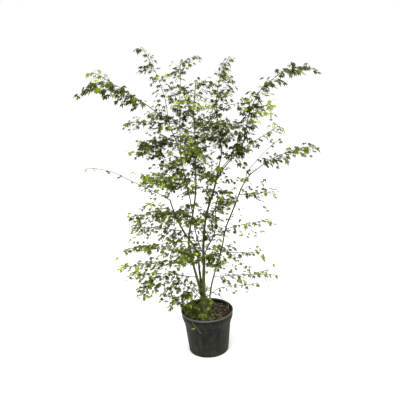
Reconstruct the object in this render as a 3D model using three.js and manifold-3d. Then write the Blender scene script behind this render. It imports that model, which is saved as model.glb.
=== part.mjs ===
// Japanese maple in a round nursery pot, in millimetres, +Z up.
// The origin is the centre of the pot's underside. +X is the plant's right and -Y its front.
import * as THREE from 'three';
import { mergeVertices } from 'three/addons/utils/BufferGeometryUtils.js';
import Module from 'manifold-3d';

const wasm = await Module();
wasm.setup();

// ---------------------------------------------------------------- driving dimensions

const seatGap = 0.3; // between pieces that touch
const smallestGap = 0.27; // the seat gap, less rounding
const mergeTolerance = 0.05; // slivers left by a join are merged within this

const pot = {
  height: 232,
  rimRadius: 140,
  lipHeight: 11, // rolled lip
  lipOverhang: 3,
  collarHeight: 22, // upright band under the lip
  shoulderHeight: 40, // slope from the collar in to the body
  bodyTopRadius: 123,
  baseRadius: 107,
  footRounding: 5,
  wall: 2.4,
  floor: 3,
  drainHoles: 8,
  drainHoleRadius: 7,
  drainRingRadius: 76,
  sides: 40,
};

const soil = {
  belowRim: 20, // at the wall
  crown: 14, // rise of the mound to its middle
};

const plant = {
  tallness: 1, // multiplies every stem height
  wideness: 1, // multiplies every stem's reach from the pot's axis
  plantedDepth: 40,
  socketClearance: 0.7,
  woodySides: 8,
};

const leaf = {
  reach: 34, // middle lobe, from the stalk's end
  stalk: 30,
  stalkHalfWidth: 1.4,
  thickness: 3,
  notch: 0.3, // how far out the notches between lobes lie, as a share of the reach
  spacing: 120, // along a shoot, from one pair to the next
  droop: 24, // degrees below the shoot
  forward: 50, // degrees from the shoot's own direction
};

const shoot = {
  baseRadius: 2.2,
  tipRadius: 1.2,
  collar: 7, // straight start, square to the stem that carries it
  turn: 14, // degrees a shoot turns aside when another stem is in its way
  stepLength: 70, // between the rings of a long stem
  sides: 5,
  sideSteps: 5, // a side shoot's rings
  leafyFrom: 0.3, // a side shoot's first leaves, as a share of its length
  searchStep: 0.005, // of a stem's length, when a height is looked for along it
};

// ---------------------------------------------------------------- colours

const finishes = {
  plastic: new THREE.MeshStandardMaterial({ color: 0x2f302c, roughness: 0.6, metalness: 0 }),
  earth: new THREE.MeshStandardMaterial({ color: 0x2e2118, roughness: 1, metalness: 0 }),
  bark: new THREE.MeshStandardMaterial({ color: 0x5c6234, roughness: 0.8, metalness: 0 }),
  foliage: new THREE.MeshStandardMaterial({ color: 0x567a26, roughness: 0.6, metalness: 0 }),
  moss: new THREE.MeshStandardMaterial({ color: 0x6f8f2c, roughness: 1, metalness: 0 }),
  litter: new THREE.MeshStandardMaterial({ color: 0x6b4428, roughness: 0.9, metalness: 0 }),
};

// ---------------------------------------------------------------- helpers

const model = new THREE.Group();
const solids = new Map(); // name to manifold solid, for room tests
const stems = new Map(); // name to route, for whatever grows from it

const vector = (x, y, z) => new THREE.Vector3(x, y, z);
const radians = THREE.MathUtils.degToRad;
const heading = (degrees) => vector(Math.cos(radians(degrees)), Math.sin(radians(degrees)), 0);

// The part of a direction that is square to another, as a unit vector.
function squareTo(along, towards) {
  return towards.clone().addScaledVector(along, -towards.dot(along)).normalize();
}

function solidOf(geometry) {
  const bare = geometry.clone();
  bare.deleteAttribute('normal');
  bare.deleteAttribute('uv');
  const merged = mergeVertices(bare, 1e-4);
  return new wasm.Manifold(
    new wasm.Mesh({
      numProp: 3,
      vertProperties: new Float32Array(merged.attributes.position.array),
      triVerts: new Uint32Array(merged.index.array),
    }),
  );
}

function geometryOf(solid) {
  const mesh = solid.getMesh();
  const geometry = new THREE.BufferGeometry();
  geometry.setAttribute('position', new THREE.BufferAttribute(mesh.vertProperties, mesh.numProp));
  geometry.setIndex(new THREE.BufferAttribute(mesh.triVerts, 1));
  geometry.computeVertexNormals();
  return geometry;
}

function addPiece(name, solid, finish) {
  const mesh = new THREE.Mesh(geometryOf(solid), finishes[finish]);
  mesh.name = name;
  model.add(mesh);
  solids.set(name, solid);
}

const boxesMeet = (a, b) =>
  [0, 1, 2].every((i) => a.min[i] < b.max[i] + seatGap && b.min[i] < a.max[i] + seatGap);

// True where the solid keeps the seat gap to every placed piece.
function hasRoom(solid, others = solids.values()) {
  const box = solid.boundingBox();
  for (const other of others) {
    if (boxesMeet(box, other.boundingBox()) && solid.minGap(other, seatGap * 2) < smallestGap) return false;
  }
  return true;
}

// A profile of [radius, height] points turned round the pot's axis.
function turned(profile, sides) {
  const points = profile.map(([r, z]) => new THREE.Vector2(r, z));
  return solidOf(new THREE.LatheGeometry(points, sides).rotateX(Math.PI / 2));
}

// ---------------------------------------------------------------- pot

const shoulderTop = pot.height - pot.lipHeight - pot.collarHeight;
const shoulderFoot = shoulderTop - pot.shoulderHeight;
const collarRadius = pot.rimRadius - pot.lipOverhang;

// Inside radius of the pot at a height above its floor.
function insideRadius(z) {
  const body = THREE.MathUtils.mapLinear(z, 0, shoulderFoot, pot.baseRadius, pot.bodyTopRadius);
  const slope = THREE.MathUtils.mapLinear(z, shoulderFoot, shoulderTop, pot.bodyTopRadius, collarRadius);
  if (z <= shoulderFoot) return body - pot.wall;
  return Math.min(slope, collarRadius) - pot.wall;
}

function potSolid() {
  const lipFoot = pot.height - pot.lipHeight;
  const cup = turned(
    [
      [0, 0],
      [pot.baseRadius - pot.footRounding, 0],
      [pot.baseRadius, pot.footRounding],
      [pot.bodyTopRadius, shoulderFoot],
      [collarRadius, shoulderTop],
      [collarRadius, lipFoot],
      [pot.rimRadius, lipFoot + pot.lipOverhang / 2],
      [pot.rimRadius, pot.height - pot.wall / 2],
      [pot.rimRadius - pot.wall / 2, pot.height],
      [collarRadius - pot.wall, pot.height],
      [collarRadius - pot.wall, shoulderTop],
      [insideRadius(shoulderFoot), shoulderFoot],
      [insideRadius(pot.floor), pot.floor],
      [0, pot.floor],
    ],
    pot.sides,
  );
  const drill = new THREE.CylinderGeometry(pot.drainHoleRadius, pot.drainHoleRadius, pot.floor * 4, 12);
  drill.rotateX(Math.PI / 2);
  let drained = cup;
  for (let i = 0; i < pot.drainHoles; i += 1) {
    const at = heading((360 * i) / pot.drainHoles).multiplyScalar(pot.drainRingRadius);
    drained = drained.subtract(solidOf(drill.clone().translate(at.x, at.y, 0)));
  }
  return drained;
}

// ---------------------------------------------------------------- soil

const soilEdge = pot.height - soil.belowRim;
const soilTop = soilEdge + soil.crown;
const soilRadius = insideRadius(soilEdge) - seatGap;
const soilHeight = (x, y) => soilTop - soil.crown * ((x * x + y * y) / (soilRadius * soilRadius));

function soilSolid() {
  const rings = [0.8, 0.6, 0.35];
  return turned(
    [
      [0, pot.floor + seatGap],
      [insideRadius(pot.floor) - seatGap * 2, pot.floor + seatGap],
      [insideRadius(shoulderFoot) - seatGap * 2, shoulderFoot],
      [insideRadius(Math.min(shoulderTop, soilEdge)) - seatGap * 2, Math.min(shoulderTop, soilEdge)],
      [soilRadius - seatGap, soilEdge],
      ...rings.map((share) => [soilRadius * share, soilHeight(soilRadius * share, 0)]),
      [0, soilTop],
    ],
    pot.sides,
  );
}

// ---------------------------------------------------------------- stems

// A stem's radius at a share of its length, from its radii in even steps from foot to tip.
function radiusAt({ radii }, share) {
  const place = share * (radii.length - 1);
  const below = Math.min(Math.floor(place), radii.length - 2);
  return THREE.MathUtils.lerp(radii[below], radii[below + 1], place - below);
}

// The straight runs between a stem's rings: what grows from the stem sits on these.
function runsBetween(points) {
  const runs = new THREE.CurvePath();
  points.slice(1).forEach((point, i) => runs.add(new THREE.LineCurve3(points[i], point)));
  return runs;
}

// A round stem along a smooth curve, its first ring square to `start`.
function stemSolid({ curve, radii, start, sides, steps }) {
  const tube = mergeVertices(bareCylinder(sides, steps), 1e-4);
  const at = tube.attributes.position;
  const centres = curve.getSpacedPoints(steps);
  let across = Math.abs(start.z) > 0.9 ? vector(1, 0, 0) : vector(0, 0, 1);
  const rings = centres.map((centre, k) => {
    const along = k === 0 ? start : curve.getTangentAt(k / steps);
    across = squareTo(along, across);
    return { centre, across, up: along.clone().cross(across), radius: radiusAt({ radii }, k / steps) };
  });
  for (let i = 0; i < at.count; i += 1) {
    const ring = rings[Math.round((at.getY(i) + 0.5) * steps)];
    const spot = ring.centre.clone();
    spot.addScaledVector(ring.across, at.getX(i) * ring.radius);
    spot.addScaledVector(ring.up, -at.getZ(i) * ring.radius);
    at.setXYZ(i, spot.x, spot.y, spot.z);
  }
  return solidOf(tube);
}

function bareCylinder(sides, steps) {
  const geometry = new THREE.CylinderGeometry(1, 1, 1, sides, steps);
  geometry.deleteAttribute('normal');
  geometry.deleteAttribute('uv');
  return geometry;
}

// A point given above the soil's crown, for a plant of the chosen height and spread.
function grown([x, y, z]) {
  return vector(x * plant.wideness, y * plant.wideness, soilTop + z * plant.tallness);
}

// Where a carrier first reaches a height above the soil, as a share of its length.
function shareAtHeight(carrier, height) {
  const level = soilTop + height * plant.tallness;
  let share = 0;
  while (share < 1 && carrier.runs.getPoint(share).z < level) share += shoot.searchStep;
  return Math.min(share, 1);
}

// The seat of a new stem on its carrier: on the end, or on the side that faces `towards`.
function seatOn(carrier, share, towards) {
  const centre = carrier.runs.getPoint(share);
  const along = share === 1 ? carrier.curve.getTangentAt(1) : carrier.runs.getTangent(share);
  if (share === 1) return { at: centre.addScaledVector(along, seatGap), out: along };
  const out = squareTo(along, towards);
  return { at: centre.addScaledVector(out, radiusAt(carrier, share) + seatGap), out };
}

// Every woody stem: what it grows from, its route above the soil, and its radii from foot to tip.
// `seat` is the side of the trunk's cut top that a stem stands on, in degrees.
const woodyStems = [
  {
    name: 'stem_front', on: 'trunk', seat: 210, radii: [7, 6, 5, 4.5, 3.5, 2.5, 1.6],
    route: [[-35, -12, 155], [-68, -35, 330], [-75, -48, 420], [-50, -70, 545], [-25, -76, 680],
      [-20, -84, 795], [-15, -88, 870], [-12, -75, 1075], [5, -60, 1215]],
    leafyFrom: 0.84,
  },
  {
    name: 'stem_back', on: 'trunk', seat: 90, radii: [6, 5, 3.5],
    route: [[-31, 27, 245], [-37, 43, 320], [-64, 60, 365], [-100, 77, 423], [-138, 93, 503],
      [-165, 110, 594]],
  },
  {
    name: 'stem_centre', on: 'trunk', seat: 330, radii: [8, 7.5, 6, 5, 4],
    route: [[-12, 0, 165], [-3, 8, 250], [-3, 15, 335], [12, 5, 480], [28, -4, 555], [70, -17, 680],
      [98, -30, 795]],
  },
  {
    name: 'stem_left', on: 'stem_centre', height: 325, radii: [5.5, 4.5, 3],
    route: [[-29, 23, 395], [-42, 29, 462], [-50, 36, 554], [-65, 44, 664], [-77, 50, 725],
      [-87, 55, 802], [-95, 60, 860]],
  },
  {
    name: 'stem_short', on: 'stem_centre', height: 318, radii: [3.6, 3, 2],
    route: [[27, -8, 372], [56, -21, 428], [64, -30, 474], [66, -34, 515], [66, -47, 555],
      [73, -60, 602], [85, -72, 650]],
    leafyFrom: 0.7,
  },
  {
    name: 'branch_low_left', on: 'trunk', height: 75, radii: [3.5, 2.2],
    route: [[-64, -30, 128], [-100, -45, 160], [-131, -60, 206]],
  },
];

// Long shoots, leafy from a share of their length to the tip.
const longShoots = [
  {
    name: 'shoot_arch_left', on: 'stem_left', height: 'end', radii: [2.9, 2.4, 1.4], leafyFrom: 0.45,
    route: [[-128, 58, 962], [-180, 54, 1048], [-242, 52, 1101], [-345, 48, 1178], [-405, 46, 1215],
      [-472, 44, 1226], [-525, 42, 1208], [-562, 40, 1172]],
  },
  {
    name: 'shoot_tall_left', on: 'shoot_arch_left', height: 985, radii: [2, 1.6, 1.2], leafyFrom: 0.2,
    route: [[-148, 70, 1066], [-158, 72, 1168], [-185, 74, 1220], [-192, 75, 1273], [-218, 77, 1320],
      [-248, 80, 1384]],
  },
  {
    name: 'shoot_bare_left', on: 'stem_back', height: 'end', radii: [2.6, 2, 1.2], leafyFrom: 0.5,
    route: [[-225, 90, 639], [-306, 70, 690], [-370, 50, 733], [-446, 30, 781], [-530, 12, 806],
      [-560, 5, 812]],
  },
  {
    name: 'leader_left', on: 'stem_left', height: 840, radii: [2.4, 1.9, 1.3], leafyFrom: 0.35,
    route: [[-88, 40, 930], [-82, 30, 1080], [-70, 15, 1220], [-64, 5, 1310]],
  },
  {
    name: 'leader_right', on: 'stem_centre', height: 'end', radii: [3.2, 2.4, 1.4], leafyFrom: 0.3,
    route: [[112, -33, 860], [106, -35, 950], [98, -32, 1060], [105, -25, 1160], [135, -15, 1250],
      [170, -5, 1318]],
  },
  {
    name: 'shoot_top_right', on: 'stem_centre', height: 725, radii: [3, 2.4, 1.3], leafyFrom: 0.4,
    route: [[115, -16, 768], [155, -10, 816], [206, -4, 864], [245, -2, 985], [262, 1, 1057],
      [324, 7, 1159], [373, 13, 1196], [448, 19, 1240], [527, 24, 1246], [574, 30, 1236]],
  },
  {
    name: 'shoot_right_high', on: 'stem_centre', height: 765, radii: [2.4, 2, 1.3], leafyFrom: 0.35,
    route: [[146, -50, 828], [179, -62, 862], [250, -78, 905], [330, -88, 950], [385, -90, 985]],
  },
  {
    name: 'shoot_right', on: 'stem_right', height: 'end', radii: [3.3, 2.4, 1.3], leafyFrom: 0.45,
    route: [[236, -26, 725], [278, -27, 760], [340, -27, 803], [391, -28, 827], [442, -29, 844],
      [520, -29, 863], [562, -30, 866]],
  },
  {
    name: 'shoot_right_upper', on: 'shoot_right', height: 700, radii: [1.8, 1.5, 1.1], leafyFrom: 0.5,
    route: [[262, -20, 785], [313, -14, 832], [354, -8, 872], [400, -4, 905]],
  },
  {
    name: 'twig_low_right', on: 'trunk', height: 70, radii: [2, 1.6, 1.1], leafyFrom: 0.4,
    route: [[50, 27, 98], [82, 43, 107], [116, 60, 106], [200, 70, 100], [270, 62, 112]],
  },
];

// Side shoots: the carrier, the height they leave it, the way they head (0 right, 90 back, 180 left,
// 270 front), how far they reach and how far they rise.
const sideShoots = [
  { on: 'branch_low_left', height: 'end', way: 188, reach: 200, rise: -15 },
  { on: 'branch_low_left', height: 150, way: 235, reach: 150, rise: -25 },
  { on: 'stem_front', height: 200, way: 172, reach: 290, rise: 20 },
  { on: 'stem_front', height: 320, way: 187, reach: 360, rise: -20 },
  { on: 'stem_back', height: 300, way: 158, reach: 310, rise: 20 },
  { on: 'stem_front', height: 410, way: 200, reach: 310, rise: 15 },
  { on: 'stem_back', height: 430, way: 172, reach: 260, rise: 20 },
  { on: 'stem_front', height: 570, way: 188, reach: 290, rise: 10 },
  { on: 'stem_left', height: 540, way: 205, reach: 220, rise: 30 },
  { on: 'stem_left', height: 690, way: 183, reach: 210, rise: 30 },
  { on: 'stem_left', height: 735, way: 165, reach: 220, rise: 120 },
  { on: 'stem_front', height: 730, way: 205, reach: 220, rise: 50 },
  { on: 'shoot_arch_left', height: 900, way: 186, reach: 170, rise: -5 },
  { on: 'shoot_arch_left', height: 1010, way: 188, reach: 180, rise: 15 },
  { on: 'shoot_arch_left', height: 1212, way: 170, reach: 100, rise: 60 },
  { on: 'stem_front', height: 860, way: 262, reach: 190, rise: 60 },
  { on: 'stem_front', height: 950, way: 325, reach: 160, rise: 80 },
  { on: 'leader_left', height: 1010, way: 205, reach: 140, rise: 60 },
  { on: 'stem_left', height: 790, way: 75, reach: 240, rise: 70 },
  { on: 'leader_right', height: 900, way: 90, reach: 210, rise: 80 },
  { on: 'shoot_top_right', height: 1000, way: 350, reach: 110, rise: 80 },
  { on: 'stem_right', height: 640, way: 352, reach: 160, rise: 5 },
  { on: 'stem_right', height: 460, way: 8, reach: 210, rise: 20 },
  { on: 'stem_right', height: 335, way: 0, reach: 200, rise: -15 },
  { on: 'stem_right', height: 200, way: 352, reach: 310, rise: 10 },
  { on: 'stem_centre', height: 290, way: 300, reach: 150, rise: 40 },
  { on: 'stem_back', height: 250, way: 95, reach: 260, rise: 50 },
  { on: 'stem_centre', height: 520, way: 55, reach: 260, rise: 40 },
  { on: 'stem_front', height: 375, way: 262, reach: 240, rise: 20 },
  { on: 'stem_centre', height: 650, way: 290, reach: 200, rise: 50 },
  { on: 'stem_left', height: 620, way: 100, reach: 250, rise: 50 },
];

// A stem that stands in the soil: it is planted upright in a socket of its own.
function plantedCurve(points) {
  const foot = grown(points[0]);
  const ground = vector(foot.x, foot.y, soilHeight(foot.x, foot.y));
  const below = ground.clone().setZ(ground.z - plant.plantedDepth);
  return new THREE.CatmullRomCurve3([below, ground, ...points.slice(1).map(grown)]);
}

const plantedStems = [
  {
    name: 'trunk', sides: 12, steps: 6, radii: [20, 20.5, 18, 17.5],
    route: [[-8, -4, 0], [-15, -2, 75], [-22, 0, 130]],
  },
  {
    name: 'stem_right', sides: plant.woodySides, steps: 14, radii: [7, 6.5, 5.5, 4.5, 3.4],
    route: [[22, -36, 0], [17, -30, 62], [20, -24, 125], [37, -21, 185], [65, -22, 280],
      [86, -22, 338], [106, -23, 418], [123, -24, 481], [152, -24, 545], [203, -26, 669]],
  },
];

// The hole that a planted stem leaves in the soil: the stem itself, with clearance round and under it.
function socketFor(stem) {
  const radii = stem.radii.map((radius) => radius + plant.socketClearance);
  const wide = stemSolid({ ...stem, radii });
  return wide.add(wide.translate(0, 0, -plant.socketClearance));
}

function grow(stem) {
  stems.set(stem.name, { ...stem, runs: runsBetween(stem.curve.getSpacedPoints(stem.steps)) });
  solids.set(stem.name, stemSolid(stem));
}

// Stems on the trunk's top stand around its middle, each inside the trunk's edge.
function trunkSeatRadius(trunk) {
  const feet = woodyStems.filter(({ seat }) => seat !== undefined).map(({ radii }) => radii[0]);
  return trunk.radii.at(-1) - Math.max(...feet);
}

// The route of a stem that grows from another: square to the carrier first, then on its own way.
function curveOn(carrier, share, points, seatWay) {
  const from = carrier.runs.getPoint(share);
  const towards = seatWay === undefined ? points[0].clone().sub(from) : heading(seatWay);
  const seat = seatOn(carrier, share, towards);
  if (seatWay !== undefined) {
    seat.at.addScaledVector(squareTo(seat.out, towards), trunkSeatRadius(carrier));
  }
  const collar = seat.at.clone().addScaledVector(seat.out, shoot.collar);
  return { start: seat.out, curve: new THREE.CatmullRomCurve3([seat.at, collar, ...points]) };
}

// ---------------------------------------------------------------- leaves

// One leaf of five pointed lobes on its stalk, flat in XY, its stalk along +X from the origin.
// Both faces rise to a low ridge along the stalk and the middle of the blade.
function leafSolid(size, stalk = leaf.stalk) {
  const lobes = [[-100, 0.55], [-48, 0.88], [0, 1], [48, 0.88], [100, 0.55]];
  const outline = [[0, -leaf.stalkHalfWidth], [stalk, -leaf.stalkHalfWidth]];
  lobes.forEach(([angle, share], i) => {
    const tip = heading(angle).multiplyScalar(leaf.reach * share * size);
    outline.push([stalk + tip.x, tip.y]);
    if (i === lobes.length - 1) return;
    const notch = heading((angle + lobes[i + 1][0]) / 2).multiplyScalar(leaf.reach * leaf.notch * size);
    outline.push([stalk + notch.x, notch.y]);
  });
  outline.push([stalk, leaf.stalkHalfWidth], [0, leaf.stalkHalfWidth]);
  const last = outline.length - 1;
  const rise = leaf.thickness / 2;
  const middle = stalk * 1.05;
  const ridge = [[middle, 0, rise], [0, 0, rise], [middle, 0, -rise], [0, 0, -rise]];
  const points = [...outline.map(([x, y]) => [x, y, 0]), ...ridge];
  const faces = [];
  for (const [blade, foot, flip] of [[last + 1, last + 2, false], [last + 3, last + 4, true]]) {
    const side = [[0, 1, blade], [0, blade, foot], [last, foot, blade], [last, 0, foot]];
    for (let i = 1; i < last; i += 1) side.push([i, i + 1, blade]);
    faces.push(...side.map(([i, j, k]) => (flip ? [j, i, k] : [i, j, k])));
  }
  return new wasm.Manifold(
    new wasm.Mesh({
      numProp: 3,
      vertProperties: new Float32Array(points.flat()),
      triVerts: new Uint32Array(faces.flat()),
    }),
  );
}

// The leaf at a point of a shoot, turned to one side of it and drooping.
function leafAt(stem, share, side, size) {
  const along = stem.curve.getTangentAt(share);
  const level = vector(along.x, along.y, 0);
  if (level.length() < 0.2) level.set(1, 0, 0);
  const way = level.normalize().applyAxisAngle(vector(0, 0, 1), radians(side * leaf.forward));
  const tilt = radians(leaf.droop);
  const forward = way.clone().multiplyScalar(Math.cos(tilt)).setZ(-Math.sin(tilt));
  const left = vector(0, 0, 1).cross(forward).normalize();
  const place = new THREE.Matrix4().makeBasis(forward, left, forward.clone().cross(left));
  place.setPosition(stem.runs.getPoint(share));
  return leafSolid(size).transform(place.elements);
}

// Opposite pairs along the leafy stretch and one leaf at the tip, wherever a leaf has room.
function leavesOn(stem) {
  const length = stem.runs.getLength();
  const pairs = Math.max(1, Math.round((length * (1 - stem.leafyFrom)) / leaf.spacing));
  const others = [...solids].filter(([name]) => name !== stem.name).map(([, solid]) => solid);
  let solid = solids.get(stem.name);
  for (let i = 0; i <= pairs; i += 1) {
    const share = THREE.MathUtils.lerp(stem.leafyFrom, 0.99, i / pairs);
    const sides = i === pairs ? [0] : [1, -1];
    for (const side of sides) {
      const candidate = leafAt(stem, share, side, i % 2 ? 0.9 : 1);
      if (hasRoom(candidate, others)) solid = solid.add(candidate);
    }
  }
  solids.set(stem.name, solid.simplify(mergeTolerance));
}

// ---------------------------------------------------------------- ground cover and litter

const cover = {
  lift: 0.8, // clear of the mound's curve
  edge: 1.5, // thickness at a pad's edge
  sides: 12,
  leafletRise: 55, // degrees
  leafletSize: 0.36, // of a maple leaf
  leafletStalk: 10,
  leafletSeat: 0.6, // up the pad, as a share of its height
  firstLeaflet: 20, // degrees
};

// Low pads of moss and weed on the soil; `leaflets` stand round the middle of a weed. Their places
// and radii are shares of the soil's radius.
const groundPads = [
  { name: 'moss_pad', x: -0.6, y: -0.07, radius: 0.3, height: 8, leaflets: 0 },
  { name: 'weed_front', x: -0.18, y: -0.63, radius: 0.15, height: 12, leaflets: 5 },
  { name: 'weed_by_trunk', x: -0.045, y: -0.335, radius: 0.097, height: 14, leaflets: 4 },
];

// Thin things that stand on the soil: their route as distance out from the rim, direction in degrees
// and height above the rim.
const groundStems = [
  {
    name: 'trailing_weed', radii: [1, 1, 0.9], leafyFrom: 0.6, steps: 14,
    route: [[-23, 238, -12], [-13, 238, 4], [-3, 238, 7], [5, 238, 0], [6, 238, -26], [3, 239, -62]],
  },
  {
    name: 'curled_leaf', radii: [1.2, 4, 4.5, 1], steps: 8,
    route: [[-27, 2, -12], [-22, 11, 5], [-20, 22, 12], [-24, 29, 7]],
  },
  {
    name: 'dry_twig', radii: [1.6, 1.5, 1], steps: 8,
    route: [[-23, 39, -14], [-13, 46, 11], [-9, 56, 22], [-7, 68, 25]],
  },
];

// Fallen leaves: where the foot of the stalk lies, as shares of the soil's radius, and which way the
// leaf points.
const fallenLeaves = [
  { name: 'fallen_leaf_a', x: 0.33, y: -0.37, way: 262, size: 0.75 },
  { name: 'fallen_leaf_b', x: 0.685, y: -0.357, way: 205, size: 0.6 },
];

function padSolid({ height, leaflets, ...shares }) {
  const [x, y, radius] = [shares.x, shares.y, shares.radius].map((share) => share * soilRadius);
  const rings = [[0, 0], [1, 0], [1, 0.01], [0.75, 0.6], [0.4, 0.9], [0, 1]];
  const dome = new THREE.LatheGeometry(rings.map(([r, h]) => new THREE.Vector2(r, h)), cover.sides);
  dome.rotateX(Math.PI / 2);
  const at = dome.attributes.position;
  for (let i = 0; i < at.count; i += 1) {
    const [px, py, share] = [x + at.getX(i) * radius, y + at.getY(i) * radius, at.getZ(i)];
    const thick = share === 0 ? 0 : cover.edge + height * share;
    at.setXYZ(i, px, py, soilHeight(px, py) + cover.lift + thick);
  }
  let pad = solidOf(dome);
  for (let i = 0; i < leaflets; i += 1) {
    const way = (360 * i) / leaflets + cover.firstLeaflet;
    const stand = new THREE.Matrix4().makeRotationY(-radians(cover.leafletRise));
    stand.premultiply(new THREE.Matrix4().makeRotationZ(radians(way)));
    stand.setPosition(x, y, soilHeight(x, y) + height * cover.leafletSeat);
    pad = pad.add(leafSolid(cover.leafletSize, cover.leafletStalk).transform(stand.elements));
  }
  return pad.simplify(mergeTolerance);
}

function fallenLeafSolid({ way, size, ...shares }) {
  const [x, y] = [shares.x * soilRadius, shares.y * soilRadius];
  const tip = heading(way).multiplyScalar(leaf.stalk + leaf.reach * size);
  const slope = Math.atan2(soilHeight(x, y) - soilHeight(x + tip.x, y + tip.y), tip.length());
  const lie = new THREE.Matrix4().makeRotationY(slope);
  lie.premultiply(new THREE.Matrix4().makeRotationZ(radians(way)));
  lie.setPosition(x, y, soilHeight(x, y) + cover.lift + leaf.thickness / 2);
  return leafSolid(size).transform(lie.elements);
}

function groundCurve(route) {
  const points = route.map(([out, way, rise]) =>
    heading(way).multiplyScalar(pot.rimRadius + out).setZ(pot.height + rise));
  points[0].z = soilHeight(points[0].x, points[0].y) + seatGap * 2;
  return new THREE.CatmullRomCurve3(points);
}

// ---------------------------------------------------------------- growing the plant

const stepsFor = (curve) => Math.max(4, Math.round(curve.getLength() / shoot.stepLength));

function growPlanted(spec) {
  grow({ ...spec, curve: plantedCurve(spec.route), start: vector(0, 0, 1) });
}

function growOn(spec, sides) {
  const carrier = stems.get(spec.on);
  const onEnd = spec.height === 'end' || spec.seat !== undefined;
  const share = onEnd ? 1 : shareAtHeight(carrier, spec.height);
  const { curve, start } = curveOn(carrier, share, spec.route.map(grown), spec.seat);
  grow({ ...spec, curve, start, sides, steps: stepsFor(curve) });
}

// A side shoot heads its own way, or turns a little where another stem stands in it.
function growSide(spec, name) {
  const carrier = stems.get(spec.on);
  const share = spec.height === 'end' ? 1 : shareAtHeight(carrier, spec.height);
  const from = carrier.runs.getPoint(share);
  const radii = [shoot.baseRadius, shoot.tipRadius];
  for (const turns of [0, 1, -1, 2, -2, 3, -3]) {
    const way = heading(spec.way + turns * shoot.turn).multiplyScalar(spec.reach * plant.wideness);
    const points = [[0.3, 0.45], [0.65, 0.85], [1, 1]].map(([out, up]) =>
      from.clone().addScaledVector(way, out).add(vector(0, 0, spec.rise * plant.tallness * up)));
    const { curve, start } = curveOn(carrier, share, points);
    const rings = { sides: shoot.sides, steps: shoot.sideSteps };
    const stem = { ...spec, ...rings, name, radii, curve, start, leafyFrom: shoot.leafyFrom };
    if (hasRoom(stemSolid(stem))) {
      grow(stem);
      return;
    }
  }
}

solids.set('pot', potSolid());
plantedStems.forEach(growPlanted);
const sockets = plantedStems.map(({ name }) => socketFor(stems.get(name)));
solids.set('soil', sockets.reduce((earth, socket) => earth.subtract(socket), soilSolid()));
groundPads.forEach((pad) => solids.set(pad.name, padSolid(pad)));
fallenLeaves.forEach((fallen) => solids.set(fallen.name, fallenLeafSolid(fallen)));
for (const spec of groundStems) {
  grow({ ...spec, curve: groundCurve(spec.route), start: vector(0, 0, 1), sides: shoot.sides });
}
woodyStems.forEach((spec) => growOn(spec, plant.woodySides));
longShoots.forEach((spec) => growOn(spec, shoot.sides));
sideShoots.forEach((spec, i) => growSide(spec, `side_shoot_${String(i + 1).padStart(2, '0')}`));
for (const stem of stems.values()) if (stem.leafyFrom !== undefined) leavesOn(stem);

const finishOf = new Map([
  ['pot', 'plastic'],
  ['soil', 'earth'],
  ['dry_twig', 'litter'],
  ...[...plantedStems, ...woodyStems].map(({ name }) => [name, 'bark']),
  ...groundPads.map(({ name }) => [name, 'moss']),
  ...fallenLeaves.map(({ name }) => [name, 'litter']),
]);
for (const [name, solid] of [...solids]) addPiece(name, solid, finishOf.get(name) ?? 'foliage');

export default model;
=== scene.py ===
"""A Japanese maple in a round nursery pot: the looks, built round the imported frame.

Metres, +Z up, in the frame's own axes: the origin is the centre of the pot's underside, +X the
plant's right and -Y its front.
"""

import heapq
import math
import random

import bpy
import numpy as np
from mathutils import Matrix, Vector, noise
from mathutils.bvhtree import BVHTree


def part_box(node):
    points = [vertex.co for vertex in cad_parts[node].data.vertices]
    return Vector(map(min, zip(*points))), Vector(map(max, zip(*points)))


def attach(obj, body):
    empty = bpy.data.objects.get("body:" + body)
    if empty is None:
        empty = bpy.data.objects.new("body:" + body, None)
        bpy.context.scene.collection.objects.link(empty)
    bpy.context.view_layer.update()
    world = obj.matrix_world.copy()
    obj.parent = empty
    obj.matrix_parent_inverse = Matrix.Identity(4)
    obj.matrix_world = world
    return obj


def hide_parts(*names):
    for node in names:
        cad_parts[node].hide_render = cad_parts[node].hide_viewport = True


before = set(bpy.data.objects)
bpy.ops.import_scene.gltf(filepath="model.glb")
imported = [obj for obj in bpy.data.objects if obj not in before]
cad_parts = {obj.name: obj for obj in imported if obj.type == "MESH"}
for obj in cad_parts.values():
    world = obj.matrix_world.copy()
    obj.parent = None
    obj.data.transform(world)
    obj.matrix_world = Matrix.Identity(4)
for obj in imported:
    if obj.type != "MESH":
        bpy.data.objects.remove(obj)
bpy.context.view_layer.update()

MM = 0.001
UP = Vector((0, 0, 1))

# ------------------------------------------------------------------ sizes

POT_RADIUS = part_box("pot")[1].x
POT_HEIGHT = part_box("pot")[1].z
POT_WALL = 2.4 * MM
COLLAR = POT_RADIUS - 3 * MM
SHOULDER_TOP, SHOULDER_FOOT = POT_HEIGHT - 33 * MM, POT_HEIGHT - 73 * MM
BODY_TOP, POT_BASE = 123 * MM, 107 * MM
SOIL_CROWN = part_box("soil")[1].z
SOIL_RADIUS = 134 * MM
SOIL_RISE = 14 * MM  # of the mound, from the wall to its middle

LEAF_LENGTH = 24 * MM  # the middle lobe of a full-grown leaf
LEAF_STALK = 20 * MM
LEAF_SPACING = 23 * MM  # along a twig, from one pair of leaves to the next
TWIGLET_SPACING = 40 * MM  # along a shoot, from one side twig to the next
CAD_END_LEAF = 52 * MM  # how far the last leaf of a CAD stem reaches past its wood
TRUNK_FOOT = (-12 * MM, -4 * MM)

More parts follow.
